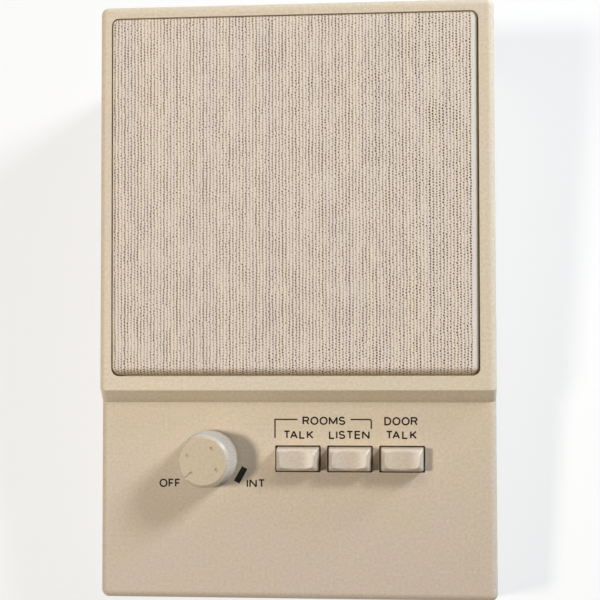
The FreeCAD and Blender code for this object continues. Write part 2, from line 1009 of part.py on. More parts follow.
def key_block(u, inset, bottom, top):
    """The key's outline between two levels: it narrows upwards, and is drawn in by an inset."""
    outlines = []
    for level in (bottom, top):
        margin = 2 * (inset + key_slant * (level + key_skirt))
        width = key_width - margin
        length = key_length - margin
        outlines.append(rounded_outline(u, control_row, width, length, key_corner_radius, level))
    return Part.makeLoft(outlines, True, True)


def key_dish(u, chord):
    """A cylinder along the key that sinks its face between the two side bevels."""
    radius = ((chord / 2) ** 2 + key_dish_depth ** 2) / (2 * key_dish_depth)
    end = Vector(u, control_row - key_length, key_height + radius - key_dish_depth)
    return Part.makeCylinder(radius, 2 * key_length, end, Vector(0, 1, 0))


def key_cap(u):
    """A hollow cap with mitred bevels round a dished face, and a web with a socket for its plunger."""
    margin = 2 * key_slant * (key_shoulder + key_skirt)
    width = key_width - margin
    length = key_length - margin
    top_width = width - 2 * key_side_bevel
    top_length = length - 2 * key_end_bevel
    bevels = Part.makeLoft([
        rounded_outline(u, control_row, width, length, key_corner_radius, key_shoulder),
        rounded_outline(u, control_row, top_width, top_length, key_face_corner_radius, key_height),
    ], True, True)
    cap = joined([key_block(u, 0, -key_skirt, key_shoulder), bevels]).cut(key_dish(u, top_width))
    web = block(u, control_row, plunger_side + 2 * socket_wall, key_length, -key_skirt, key_ceiling)
    hollow = key_block(u, key_wall, -key_skirt, key_ceiling).cut(web)
    bore_side = plunger_side + 2 * socket_clearance
    bore = block(u, control_row, bore_side, bore_side, -key_skirt, key_ceiling)
    return single(cap.cut(group(hollow.Solids + [bore])).removeSplitter())


def plunger(u):
    """Square rod: cap socket at the top, spring collar, shoulder that stops under the rail, tail."""
    top = key_ceiling - socket_clearance
    rod = block(u, control_row, plunger_side, plunger_side, rail_under - plunger_tail, top)
    collar_under = -plunger_collar_drop - plunger_collar_thickness
    collar = disc(u, control_row, plunger_collar_radius, collar_under, -plunger_collar_drop)
    shoulder = block(u, control_row, plunger_shoulder, plunger_shoulder,
                     rail_under - plunger_shoulder_height, rail_under)
    return joined([rod, collar, shoulder])


def return_spring(u):
    """Compression spring between the rail and the plunger's collar."""
    bottom = -rail_drop + spring_wire_radius
    top = -plunger_collar_drop - plunger_collar_thickness - spring_wire_radius
    radius = math.sqrt(0.5) * (plunger_side + 2 * plunger_clearance) + spring_wire_radius
    count = spring_turn_count * spring_section_count
    sections = []
    for number in range(count + 1):
        angle = 2 * math.pi * number / spring_section_count
        outward = Vector(math.cos(angle), math.sin(angle), 0)
        centre = Vector(u, control_row, bottom + (top - bottom) * number / count) + outward * radius
        sections.append(wire_section(centre, outward, Vector(0, 0, 1), spring_wire_radius))
    return single(Part.makeLoft(sections, True, True))


def wire_section(centre, across, upward, radius):
    """Outline of a thin wire about a centre, in the plane of two directions."""
    points = []
    for number in range(wire_side_count):
        angle = 2 * math.pi * number / wire_side_count
        outward = across * math.cos(angle) + upward * math.sin(angle)
        points.append(centre + outward * radius)
    return Part.makePolygon(points + [points[0]])


def switch_rail():
    """Folded steel channel across the three switch bodies, on two legs that stand on the board."""
    length = key_pitch * (key_count - 1) + switch_width + 2 * rail_end_margin
    outer_length = length + 2 * rail_thickness
    outer_width = switch_length + 2 * rail_thickness
    fold_end = rail_under - rail_flange
    pieces = [block(keys_middle, control_row, outer_length, outer_width, rail_under, -rail_drop)]
    for side in (-1, 1):
        v = control_row + side * (switch_length + rail_thickness) / 2
        pieces.append(block(keys_middle, v, outer_length, rail_thickness, fold_end, -rail_drop))
        u = keys_middle + side * (length + rail_thickness) / 2
        pieces.append(block(u, control_row, rail_thickness, rail_leg_width, board_top, -rail_drop))
    side = plunger_side + 2 * plunger_clearance
    holes = [block(u, control_row, side, side, rail_under, -rail_drop) for u in key_places]
    return single(joined(pieces).cut(group(holes)))


def switch_bodies():
    bodies = []
    well = plunger_shoulder + 2 * plunger_clearance
    well_depth = plunger_shoulder_height + key_travel + plunger_clearance
    slot = plunger_side + 2 * plunger_clearance
    for u in key_places:
        body = block(u, control_row, switch_width, switch_length, board_top, rail_under)
        body = body.cut(block(u, control_row, well, well, rail_under - well_depth, rail_under))
        body = body.cut(block(u, control_row, slot, slot, board_top + switch_floor, rail_under))
        bodies.append(single(body))
    return group(bodies)


def switch_contacts():
    """Flat contact strips down both long sides of each body, standing on the board."""
    strips = []
    for u in key_places:
        for side in (-1, 1):
            v = control_row + side * (switch_length + contact_thickness) / 2
            for number in (-1, 0, 1):
                strips.append(block(u + number * contact_pitch, v, contact_width, contact_thickness,
                                    board_top, board_top + contact_height))
    return group(strips)


# Circuit board


def circuit_board():
    middle = board_front + board_length / 2
    board = block(0, middle, board_width, board_length, board_under, board_top)
    hole = board_screw_radius + screw_clearance
    holes = [disc(u, v, hole, board_under, board_top) for u, v in standoff_places()]
    return single(board.cut(group(holes)))


def board_screws():
    sizes = (board_screw_length, board_screw_radius, board_screw_head_radius, board_screw_head_height)
    return group([pan_screw(u, v, board_under, *sizes, 1) for u, v in standoff_places()])


def transformer_core():
    """Stacked laminations with three limbs, standing on the board."""
    v = board_front + transformer_row
    limb = transformer_limb
    top = board_top + transformer_height
    core = block(transformer_u, v, transformer_width, transformer_stack, board_top, top)
    window = (transformer_width - 4 * limb) / 2
    for side in (-1, 1):
        u = transformer_u + side * (limb + window / 2)
        core = core.cut(block(u, v, window, transformer_stack, board_top + limb, top - limb))
    return single(core)


def transformer_coil():
    """Winding round the middle limb, filling the two windows."""
    v = board_front + transformer_row
    limb = transformer_limb
    window = (transformer_width - 4 * limb) / 2
    bottom = board_top + limb + coil_clearance
    top = board_top + transformer_height - limb - coil_clearance
    width = 2 * (limb + window - coil_clearance)
    length = transformer_stack + 2 * transformer_coil_margin
    outside = rounded_block(transformer_u, v, width, length, window / 2, bottom, top)
    core_width = 2 * (limb + coil_clearance)
    core_length = transformer_stack + 2 * coil_clearance
    return single(outside.cut(block(transformer_u, v, core_width, core_length, bottom, top)))


def can_capacitor(u, v, radius, height):
    """An upright can with a rolled groove near its foot and an eased top edge."""
    top = board_top + height
    shoulder = board_top + radius / 2
    return turned(u, v, [
        (0, board_top),
        (radius, board_top),
        (radius, shoulder),
        (radius - can_groove, shoulder + can_groove),
        (radius, shoulder + 2 * can_groove),
        (radius, top - can_groove),
        (radius - can_groove, top),
        (0, top),
    ])


def electrolytic_capacitors():
    v = board_front + reservoir_row
    cans = [can_capacitor(reservoir_u, v, reservoir_radius, reservoir_height)]
    for number in range(capacitor_count):
        v = board_front + capacitor_row + number * capacitor_pitch
        cans.append(can_capacitor(capacitor_u, v, capacitor_radius, capacitor_height))
    return group(cans)


def resistors():
    """Axial resistors lying over the board on their bent leads."""
    found = []
    axis = board_top + resistor_lift + resistor_radius
    low = axis - lead_width / 2
    high = axis + lead_width / 2
    middle = board_front + resistor_row
    for number in range(resistor_count):
        u = resistor_u + number * resistor_pitch
        end = Vector(u, middle - resistor_length / 2, axis)
        body = Part.makeCylinder(resistor_radius, resistor_length, end, Vector(0, 1, 0))
        pieces = [body, block(u, middle, lead_width, resistor_span + lead_width, low, high)]
        for side in (-1, 1):
            v = middle + side * resistor_span / 2
            pieces.append(block(u, v, lead_width, lead_width, board_top, high))
        found.append(joined(pieces))
    return group(found)


def transistors():
    """Small plastic packages with one flat side, each on three leads."""
    found = []
    bottom = board_top + transistor_lift
    v = board_rear - transistor_inset
    flat_v = v + transistor_flat + transistor_radius
    for number in range(transistor_count):
        u = transistor_u + number * transistor_pitch
        body = disc(u, v, transistor_radius, bottom, bottom + transistor_height)
        body = body.cut(block(u, flat_v, far, 2 * transistor_radius, -far, far))
        pieces = [single(body)]
        for place in (-1, 0, 1):
            lead_u = u + place * 2 * lead_width
            pieces.append(block(lead_u, v, lead_width, lead_width, board_top, bottom + lead_width))
        found.append(joined(pieces))
    return group(found)


def disc_capacitors():
    """Coated discs standing on edge over the board, each on two leads."""
    found = []
    v = board_front + disc_row
    axis = board_top + disc_lift + disc_radius
    for number in range(disc_count):
        u = disc_u + number * disc_pitch
        end = Vector(u, v - disc_thickness / 2, axis)
        pieces = [Part.makeCylinder(disc_radius, disc_thickness, end, Vector(0, 1, 0))]
        for side in (-1, 1):
            lead_u = u + side * disc_radius / 2
            pieces.append(block(lead_u, v, lead_width, lead_width, board_top, axis))
        found.append(joined(pieces))
    return group(found)


# Speaker


def speaker_turned(profile):
    """A solid of revolution about the speaker's axis: the profile lists radius and depth."""
    return turned(speaker_u, speaker_v, [(radius, flange_level - depth) for radius, depth in profile])


def speaker_ring(outer, inner, near, away):
    return ring(speaker_u, speaker_v, outer, inner, flange_level - away, flange_level - near)


def speaker_gasket():
    inner = roll_outer_radius + gasket_roll_gap
    return speaker_ring(surround_outer_radius, inner, -gasket_thickness, 0)


def speaker_basket():
    """Pressed steel frame: flange with four ears, open cone, ledge for the spider, floor."""
    front = surround_thickness
    sheet = sheet_thickness
    bowl = speaker_turned([
        (flange_radius, front),
        (throat_radius, front),
        (ledge_outer_radius, front + ledge_depth),
        (ledge_inner_radius, front + ledge_depth),
        (basket_floor_radius, front + basket_floor_depth),
        (basket_hole_radius, front + basket_floor_depth),
        (basket_hole_radius, front + basket_floor_depth + sheet),
        (basket_floor_radius + sheet, front + basket_floor_depth + sheet),
        (ledge_inner_radius + sheet, front + ledge_depth + sheet),
        (ledge_outer_radius + sheet, front + ledge_depth + sheet),
        (throat_radius + sheet, front + sheet),
        (flange_radius, front + sheet),
    ])
    top = flange_level - front
    ears = []
    for u, v in stud_places():
        across = u - speaker_u
        along = v - speaker_v
        middle = math.hypot(across, along) - ear_offset / 2
        arm = block(middle, 0, ear_offset, 2 * ear_radius, top - sheet, top)
        arm.rotate(Vector(0, 0, 0), Vector(0, 0, 1), math.degrees(math.atan2(along, across)))
        arm.translate(Vector(speaker_u, speaker_v, 0))
        ears += [disc(u, v, ear_radius, top - sheet, top), arm]
    throat = disc(speaker_u, speaker_v, flange_middle, -far, far)
    bowl = bowl.multiFuse([ear.cut(throat) for ear in ears])
    holes = [disc(u, v, stud_radius + stud_clearance, -far, far) for u, v in stud_places()]
    return single(bowl.cut(group(holes + basket_windows())).removeSplitter())


def basket_windows():
    """Four sectors cut from the open cone, between its struts."""
    windows = []
    section = polygon_face([
        Vector(window_inner_radius, 0, flange_level - ledge_depth),
        Vector(window_outer_radius, 0, flange_level - ledge_depth),
        Vector(window_outer_radius, 0, flange_level),
        Vector(window_inner_radius, 0, flange_level),
    ])
    for number in range(4):
        window = section.revolve(Vector(0, 0, 0), Vector(0, 0, 1), window_angle)
        window.rotate(Vector(0, 0, 0), Vector(0, 0, 1), 90 * number - window_angle / 2)
        window.translate(Vector(speaker_u, speaker_v, 0))
        windows.append(window)
    return windows


def speaker_nuts():
    """Push-on nuts that hold the ears against the seats of the studs."""
    top = flange_level - surround_thickness - sheet_thickness
    dish = push_nut_thickness / 2
    profile = [
        (stud_radius + shaft_clearance, top - dish - push_nut_thickness),
        (push_nut_radius, top - push_nut_thickness),
        (push_nut_radius, top),
        (stud_radius + shaft_clearance, top - dish),
    ]
    return group([turned(u, v, profile) for u, v in stud_places()])


def speaker_top_plate():
    hole = coil_outer_radius + coil_gap
    return speaker_ring(top_plate_radius, hole, basket_back, magnet_depth)


def speaker_magnet():
    return speaker_ring(magnet_radius, magnet_inner_radius, magnet_depth, yoke_depth)


def speaker_yoke():
    """Back plate with the pole piece that stands inside the voice coil."""
    back = yoke_depth + yoke_thickness
    return speaker_turned([
        (0, basket_back),
        (pole_radius, basket_back),
        (pole_radius, yoke_depth),
        (top_plate_radius, yoke_depth),
        (top_plate_radius, back),
        (0, back),
    ])


def speaker_surround():
    """Glued lip, raised roll and inner lip of the cone's edge."""
    thick = surround_thickness
    inner = roll_inner_radius - cone_lip
    shoulder = (roll_outer_radius - roll_inner_radius) / 4
    return speaker_turned([
        (inner, 0),
        (roll_inner_radius, 0),
        (roll_inner_radius + shoulder, -roll_height),
        (roll_outer_radius - shoulder, -roll_height),
        (roll_outer_radius, 0),
        (surround_outer_radius, 0),
        (surround_outer_radius, thick),
        (roll_outer_radius - thick, thick),
        (roll_outer_radius - shoulder - thick, thick - roll_height),
        (roll_inner_radius + shoulder + thick, thick - roll_height),
        (roll_inner_radius + thick, thick),
        (inner, thick),
    ])


def cone_lip_depth():
    return surround_thickness + cone_lip_gap


def cone_depth(radius):
    """Depth of the cone's front face at a radius."""
    rim = roll_inner_radius - cone_lip
    share = (rim - radius) / (rim - former_outer_radius)
    return cone_lip_depth() + share * (cone_neck_depth - cone_lip_depth())


def speaker_cone():
    neck = former_outer_radius + cone_neck_gap
    rim = roll_inner_radius - cone_lip
    lip = cone_lip_depth()
    return speaker_turned([
        (roll_inner_radius, lip),
        (rim, lip),
        (neck, cone_depth(neck)),
        (neck, cone_depth(neck) + cone_thickness),
        (rim, lip + cone_thickness),
        (roll_inner_radius, lip + cone_thickness),
    ])


def dust_cap():
    """Shallow dome over the voice coil, glued to the cone."""
    seat = flange_level - cone_depth(dust_cap_radius) + cone_neck_gap
    radius = (dust_cap_radius ** 2 + dust_cap_rise ** 2) / (2 * dust_cap_rise)
    centre = Vector(speaker_u, speaker_v, seat + dust_cap_rise - radius)
    dome = Part.makeSphere(radius + dust_cap_thickness, centre).cut(Part.makeSphere(radius, centre))
    return single(dome.common(disc(speaker_u, speaker_v, dust_cap_radius, seat, seat + radius)))


def voice_coil():
    """Paper former, with the winding on it in the magnet's gap."""
    top = cone_neck_depth - former_rise
    centre = basket_back + top_plate_thickness / 2
    near = centre - coil_length / 2
    away = centre + coil_length / 2
    return speaker_turned([
        (former_inner_radius, top),
        (former_outer_radius, top),
        (former_outer_radius, near),
        (coil_outer_radius, near),
        (coil_outer_radius, away),
        (former_inner_radius, away),
    ])


def speaker_spider():
    """Corrugated cloth disc that centres the voice coil."""
    seat = surround_thickness + ledge_depth
    inner = former_outer_radius + spider_gap
    outer = ledge_outer_radius - spider_gap
    flat = ledge_inner_radius + spider_gap
    half_waves = 2 * spider_wave_count
    span = (flat - inner) / (half_waves + 1)
    front = [(outer, seat - spider_thickness), (flat, seat - spider_thickness)]
    back = [(outer, seat), (flat, seat)]
    for number in range(half_waves):
        radius = flat - span * (number + 0.5)
        lift = spider_wave if number % 2 == 0 else 0
        front.append((radius, seat - spider_thickness - lift))
        back.append((radius, seat - lift))
    front.append((inner, seat - spider_thickness))
    back.append((inner, seat))
    return speaker_turned(front + back[::-1])


def strip_v():
    return speaker_v - flange_middle


def speaker_lug_strip():
    """Insulating strip that hangs from the flange and carries two solder lugs."""
    top = flange_level - surround_thickness - sheet_thickness
    return block(speaker_u, strip_v(), strip_width, strip_thickness, top - strip_height, top)


def speaker_lugs():
    bottom = flange_level - surround_thickness - sheet_thickness - strip_height
    v = strip_v() - strip_thickness / 2 - lug_thickness / 2
    lugs = []
    for side in (-1, 1):
        u = speaker_u + side * strip_lug_spacing / 2
        lugs.append(block(u, v, strip_lug_width, lug_thickness, bottom, bottom + strip_lug_length))
    return group(lugs)


# Terminal block


def block_y():
    return rear_y - wall - block_rear_gap


def block_screw_places():
    return [side * (block_width + block_ear) / 2 for side in (-1, 1)]


def terminal_places():
    pitch = (block_width - barrier_width) / terminal_count
    return [(number - (terminal_count - 1) / 2) * pitch for number in range(terminal_count)]


def terminal_block():
    """Moulded strip with a barrier between each pair of terminals, and an ear at each end."""
    top = plate_top + block_height
    ear_top = plate_top + block_height / 2
    pieces = [block(0, block_y(), block_width, block_length, plate_top, top)]
    pitch = (block_width - barrier_width) / terminal_count
    for number in range(terminal_count + 1):
        x = (number - terminal_count / 2) * pitch
        pieces.append(block(x, block_y(), barrier_width, block_length, plate_top, top + barrier_height))
    whole = block_width + 2 * block_ear
    ear_length = block_length - 2 * block_ear_recess
    pieces.append(block(0, block_y(), whole, ear_length, plate_top, ear_top))
    hole = terminal_screw_radius + screw_clearance
    holes = [disc(x, block_y(), hole, plate_top, ear_top) for x in block_screw_places()]
    hole = terminal_screw_radius + screw_clearance / 2
    holes += [disc(x, block_y(), hole, top - block_height / 2, top) for x in terminal_places()]
    return single(joined(pieces).cut(group(holes)))


def terminal_screws():
    seat = plate_top + block_height
    length = block_height / 2 - screw_clearance
    sizes = (length, terminal_screw_radius, terminal_screw_head_radius, terminal_screw_head_height)
    return group([pan_screw(x, block_y(), seat, *sizes, -1) for x in terminal_places()])


def block_screws():
    seat = plate_top + block_height / 2
    length = block_height / 2 + plate_thickness
    sizes = (length, terminal_screw_radius, terminal_screw_head_radius, terminal_screw_head_height)
    return group([pan_screw(x, block_y(), seat, *sizes, -1) for x in block_screw_places()])


# Leads


def lead(points, bend):
    """A round lead along straight runs joined by tangent arcs."""
    edges = []
    start = points[0]
    for before, corner, after in zip(points, points[1:], points[2:]):
        into = (corner - before).normalize()
        out = (after - corner).normalize()
        turn = into.getAngle(out)
        reach = bend * math.tan(turn / 2)
        arc_start = corner - into * reach
        arc_end = corner + out * reach
        inward = (out - into).normalize()
        centre = corner + inward * (bend / math.cos(turn / 2))
        arc_middle = centre - inward * bend
        edges.append(Part.LineSegment(start, arc_start).toShape())
        edges.append(Part.Arc(arc_start, arc_middle, arc_end).toShape())
        start = arc_end
    edges.append(Part.LineSegment(start, points[-1]).toShape())
    upward = (points[1] - points[0]).normalize().cross(Vector(1, 0, 0))
    section = wire_section(points[0], Vector(1, 0, 0), upward, lead_radius)
    return single(Part.Wire(edges).makePipeShell([section], True, False))


def speaker_leads():
    """Two leads from the speaker's lugs to the rear edge of the board."""
    lugs_low = flange_level - surround_thickness - sheet_thickness - strip_height
    v = strip_v() - strip_thickness / 2 - lug_thickness - lead_radius
    landing = board_rear - lead_spacing
    run = board_top + lead_rise - lead_radius
    leads = []
    for side in (-1, 1):
        u = speaker_u + side * strip_lug_spacing / 2
        points = [
            Vector(u, v, lugs_low + lead_radius),
            Vector(u, v, run),
            Vector(u, landing, run),
            Vector(u, landing, board_top),
        ]
        leads.append(lead(points, lead_bend))
    return group(leads)


def line_harness():
    """Leads from the terminal block along the base plate, up behind the board and down onto it."""
    low = plate_top + lead_radius
    start = block_y() - block_length / 2
    landing = board_rear - lead_spacing
    run = board_top + lead_rise
    leads = []
    for number in range(harness_count):
        x = harness_u + (number - (harness_count - 1) / 2) * lead_spacing
        high = face_place.multVec(Vector(x, board_rear + harness_reach, run))
        over = face_place.multVec(Vector(x, landing, run))
        down = face_place.multVec(Vector(x, landing, board_top))
        points = [Vector(x, start, low), Vector(x, high.y, low), high, over, down]
        leads.append(lead(points, lead_bend))
    return group(leads)


def main():
    os.makedirs("parts", exist_ok=True)
    save("front_housing", front_housing())
    save("grille_board", on_face(grille_board()))
    save("grille_cloth", on_face(grille_cloth()))
    save("base_plate", base_plate())
    save("base_screws", base_screws())
    save("rubber_feet", rubber_feet())
    save("cable_grommet", cable_grommet())
    save("volume_knob", on_face(volume_knob()))
    save("knob_clip", on_face(knob_clip()))
    save("potentiometer_shaft", on_face(potentiometer_shaft()))
    save("potentiometer_wiper", on_face(potentiometer_wiper()))
    save("potentiometer_bushing", on_face(potentiometer_bushing()))
    save("potentiometer_case", on_face(potentiometer_case()))
    save("potentiometer_lugs", on_face(potentiometer_lugs()))
    save("potentiometer_washer", on_face(washer()))
    save("potentiometer_nut", on_face(hex_nut()))
    save("power_switch", on_face(power_switch()))
    for name, u in zip(key_names, key_places):
        save(name + "_key", on_face(key_cap(u)))
        save(name + "_plunger", on_face(plunger(u)))
        save(name + "_spring", on_face(return_spring(u)))
    save("switch_rail", on_face(switch_rail()))
    save("switch_bodies", on_face(switch_bodies()))
    save("switch_contacts", on_face(switch_contacts()))
    save("circuit_board", on_face(circuit_board()))
    save("board_screws", on_face(board_screws()))
    save("transformer_core", on_face(transformer_core()))
    save("transformer_coil", on_face(transformer_coil()))
    save("electrolytic_capacitors", on_face(electrolytic_capacitors()))
    save("disc_capacitors", on_face(disc_capacitors()))
    save("resistors", on_face(resistors()))
    save("transistors", on_face(transistors()))
    save("speaker_gasket", on_face(speaker_gasket()))
    save("speaker_basket", on_face(speaker_basket()))
    save("speaker_nuts", on_face(speaker_nuts()))
    save("speaker_top_plate", on_face(speaker_top_plate()))
    save("speaker_magnet", on_face(speaker_magnet()))
    save("speaker_yoke", on_face(speaker_yoke()))
    save("speaker_surround", on_face(speaker_surround()))
    save("speaker_spider", on_face(speaker_spider()))
    save("speaker_cone", on_face(speaker_cone()))
    save("speaker_dust_cap", on_face(dust_cap()))
    save("voice_coil", on_face(voice_coil()))
    save("speaker_lug_strip", on_face(speaker_lug_strip()))
    save("speaker_lugs", on_face(speaker_lugs()))
    save("terminal_block", terminal_block())
    save("terminal_screws", terminal_screws())
    save("terminal_block_screws", block_screws())
    save("speaker_leads", on_face(speaker_leads()))
    save("line_harness", line_harness())


main()
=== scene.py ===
import bmesh
import bpy
import math
from mathutils import Matrix, Vector


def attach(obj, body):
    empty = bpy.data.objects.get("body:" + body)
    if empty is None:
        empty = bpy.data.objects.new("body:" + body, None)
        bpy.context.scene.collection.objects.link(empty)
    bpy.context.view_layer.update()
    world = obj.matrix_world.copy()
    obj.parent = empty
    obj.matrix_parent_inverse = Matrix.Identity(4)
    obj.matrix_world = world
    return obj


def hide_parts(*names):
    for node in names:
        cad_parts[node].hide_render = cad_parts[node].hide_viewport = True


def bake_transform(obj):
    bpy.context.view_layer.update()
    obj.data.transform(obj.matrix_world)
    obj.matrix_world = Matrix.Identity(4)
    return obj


# Vintage desk intercom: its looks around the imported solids.
# World frame: metres, X to the right, Y to the rear, Z up, origin on the table.
# Face frame: millimetres, u to the right, v up the face from its front edge, w out of the control panel.

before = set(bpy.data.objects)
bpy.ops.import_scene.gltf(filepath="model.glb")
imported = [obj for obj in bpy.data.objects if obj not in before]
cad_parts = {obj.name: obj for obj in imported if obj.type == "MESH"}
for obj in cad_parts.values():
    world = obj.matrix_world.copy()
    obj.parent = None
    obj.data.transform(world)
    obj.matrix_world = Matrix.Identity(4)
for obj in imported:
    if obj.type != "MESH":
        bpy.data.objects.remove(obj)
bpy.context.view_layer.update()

# Face of the housing
MM = 0.001
FACE_TILT = math.radians(8.0)
FACE_ORIGIN = Vector((0, -100.113, 35.0))
FACE_PLACE = (
    Matrix.Scale(MM, 4) @ Matrix.Translation(FACE_ORIGIN) @ Matrix.Rotation(FACE_TILT, 4, "X")
)

# Cloth wrapped round the grille board
CLOTH_MIDDLE = (-0.7, 135.65)
CLOTH_LEFT = 61.85
CLOTH_RIGHT = 61.65
CLOTH_TOP = 60.78
CLOTH_BOTTOM = 60.55
CLOTH_FRONT = 3.9
CLOTH_BACK = -0.5
CLOTH_THICKNESS = 0.4
CLOTH_SLACK = 0.1
CLOTH_FOLD = 8.0
REAR_TURN = 0.6
LEFT_ROLL = 1.2
RIGHT_ROLL = 1.9
TOP_ROLL = 1.1
BOTTOM_ROLL = 2.4
TOP_CORNER = 2.2
BOTTOM_CORNER = 2.8
FLAT_ORIGIN = 80.0
COLUMN_PITCH = 1.12
ROW_PITCH = 0.92

# Knob and keys
KNOB_PLACE = (-29.7, 46.9)
KNOB_SHOULDER = 13.7
FLUTE_COUNT = 100
KEYS = ("rooms_talk", "rooms_listen", "door_talk")
KEY_MIDDLE = 46.9
KEYS_LEFT = -6.9
KEYS_RIGHT = 42.7

# Wear of the housing, where it is rubbed smooth, and a band of painted shadow below the keys, which
# stands in for the shadow they cast
RUBBED_PLACE = (12.0, 42.0)
RUBBED_FADE = (16.0, 52.0)
PANEL_FADE = (-5.0, 68.0)
FRAME_FADE = (0.3, 2.2)
KEY_SHADOW_RIGHT = (KEYS_RIGHT - 2.0, KEYS_RIGHT + 4.0)
KEY_SHADOW_LEFT = (KEYS_LEFT - 4.0, KEYS_LEFT + 2.0)
KEY_SHADOW_FOOT = (KEY_MIDDLE - 11.0, KEY_MIDDLE - 6.0)
KEY_SHADOW_HEAD = (KEY_MIDDLE - 4.0, KEY_MIDDLE)

# Print on the control panel
INK_HEIGHT = 0.02
INK_ROOT = 0.02
INK_STEP = 0.0006
LETTER_LINE = 0.52
CLOSE_PAIR = "TA"
CLOSE_GAP = -0.3
BRACKET_LINE = 0.46
BRACKET_LEFT = -7.35
BRACKET_RIGHT = 25.1
BRACKET_LEVEL = 60.13
BRACKET_LEFT_FOOT = 53.9
BRACKET_RIGHT_FOOT = 57.0
BRACKET_BREAK = (0.25, 18.15)
BRACKET_TURN = 0.6
MARK_LINE = 2.1
MARK_TOP = (-17.65, 43.85)
MARK_FOOT = (-20.4, 38.95)


def tint(red, green, blue):
    """A colour from its screen values, as the shaders take it."""
    return tuple(
        x / 12.92 if x <= 0.04045 else ((x + 0.055) / 1.055) ** 2.4
        for x in (red / 255, green / 255, blue / 255)
    )


# Shading


class Signal:
    """A value over a surface: an output socket that adds, multiplies and compares as a number does."""

    def __init__(self, nodes, socket):
        self.nodes = nodes
        self.socket = socket

    def math(self, operation, *values):
        inputs = dict(enumerate(values))
        return self.nodes.node("Math", {"operation": operation}, inputs)

    def __add__(self, other):
        return self.math("ADD", self, other)

    def __radd__(self, other):
        return self.math("ADD", other, self)

    def __sub__(self, other):
        return self.math("SUBTRACT", self, other)

    def __rsub__(self, other):
        return self.math("SUBTRACT", other, self)

    def __mul__(self, other):
        return self.math("MULTIPLY", self, other)

    def __rmul__(self, other):
        return self.math("MULTIPLY", other, self)

    def __truediv__(self, other):
        return self.math("DIVIDE", self, other)

    def __pow__(self, other):
        return self.math("POWER", self, other)

    def __abs__(self):
        return self.math("ABSOLUTE", self)

    def __floor__(self):
        return self.math("FLOOR", self)

    def __mod__(self, other):
        return self.math("FLOORED_MODULO", self, other)

    def __lt__(self, other):
        return self.math("LESS_THAN", self, other)

    def most(self, other):
        return self.math("MAXIMUM", self, other)


class Nodes:
    """The nodes of a material or of the world."""

    def __init__(self, tree):
        self.tree = tree

    def node(self, kind, settings, inputs, output=0):
        made = self.tree.nodes.new("ShaderNode" + kind)
        for name, value in settings.items():
            setattr(made, name, value)
        for name, value in inputs.items():
            self.feed(made.inputs[name], value)
        return Signal(self, made.outputs[output])

    def feed(self, socket, value):
        if isinstance(value, Signal):
            self.tree.links.new(value.socket, socket)
        elif hasattr(value, "__len__"):
            socket.default_value = tuple(value) + (1.0,) * (len(socket.default_value) - len(value))
        else:
            socket.default_value = value


class Finish(Nodes):
    """One material and the shader that its nodes feed. Places are in millimetres of the face frame."""

    def __init__(self, name):
        self.material = bpy.data.materials.new(name + "_finish")
        self.material.use_nodes = True
        super().__init__(self.material.node_tree)
        self.shader = self.tree.nodes["Principled BSDF"]
        self.place = self.node(
            "Mapping",
            {"vector_type": "TEXTURE"},
            {
                "Vector": self.node("TexCoord", {}, {}, "Object"),
                "Location": FACE_ORIGIN * MM,
                "Rotation": (FACE_TILT, 0, 0),
                "Scale": (MM, MM, MM),
            },
        )

    def axes(self, place=None):
        """The three coordinates of a place, each as a signal."""
        return [self.node("SeparateXYZ", {}, {0: place or self.place}, axis) for axis in range(3)]

    def product(self, first, second):
        """Two colours or places multiplied along each axis."""
        return self.node("VectorMath", {"operation": "MULTIPLY"}, {0: first, 1: second})

    def point(self, x, y, z):
        return self.node("CombineXYZ", {}, {0: x, 1: y, 2: z})

    def noise(self, grain, detail=2.0, rough=0.5, place=None):
        """Cloudy variation from 0 to 1 whose patches are about one grain wide, in millimetres."""
        place = place or self.place
        inputs = {"Vector": place, "Scale": 1 / grain, "Detail": detail, "Roughness": rough}
        return self.node("TexNoise", {}, inputs, "Fac")

    def random(self, place):
        return self.node("TexWhiteNoise", {}, {"Vector": place}, "Value")

    def step(self, value, low, high):
        """Smooth passage from 0 at low to 1 at high."""
        inputs = {0: value, 1: low, 2: high, 3: 0.0, 4: 1.0}
        return self.node("MapRange", {"interpolation_type": "SMOOTHSTEP"}, inputs)

    def mixed(self, share, first, second):
        """From the first colour to the second as the share goes from 0 to 1."""
        return self.node("Mix", {"data_type": "RGBA"}, {0: share, 6: first, 7: second}, 2)

    def shaded(self, colour, amount):
        """A colour made lighter or darker by an amount near 1."""
        inputs = {0: colour, "Scale": amount}
        return self.node("VectorMath", {"operation": "SCALE"}, inputs)

    def relief(self, height, depth):
        """Normal of a surface raised by the height, from 0 to 1, times a depth in millimetres."""
        inputs = {"Height": height, "Distance": depth * MM, "Strength": 1.0}
        return self.node("Bump", {}, inputs)

    def done(self, colour, roughness, normal=None, metal=0.0, **constants):
        self.feed(self.shader.inputs["Base Color"], colour)
        self.feed(self.shader.inputs["Roughness"], roughness)
        self.feed(self.shader.inputs["Metallic"], metal)
        if normal:
            self.feed(self.shader.inputs["Normal"], normal)
        for name, value in constants.items():
            self.shader.inputs[name.replace("_", " ")].default_value = value
        return self.material


def aged_plastic(finish, colour, rubbed=0.0, roughness=0.44, ribs=0.0):
    """Beige styrene, finely textured and unevenly yellowed, smoother where fingers rub it."""
    patches = finish.noise(17.0, 3.0) - 0.5
    blush = finish.noise(8.0, 2.0) - 0.5
    grain = finish.noise(1.0, 3.0, 0.6)
    pits = finish.noise(0.4, 2.0, 0.6)
    light = 0.69 + grain * 0.42 + pits * 0.2
    hue = finish.point(light + blush * 0.07, light + patches * 0.03, light - patches * 0.18)
    height = grain * 0.5 + pits * 0.5 + ribs
    roughness = roughness + grain * 0.16 - rubbed * 0.1
    skin = finish.relief(height, 0.04)
    return finish.done(finish.product(colour, hue), roughness, skin, Specular_IOR_Level=0.35)


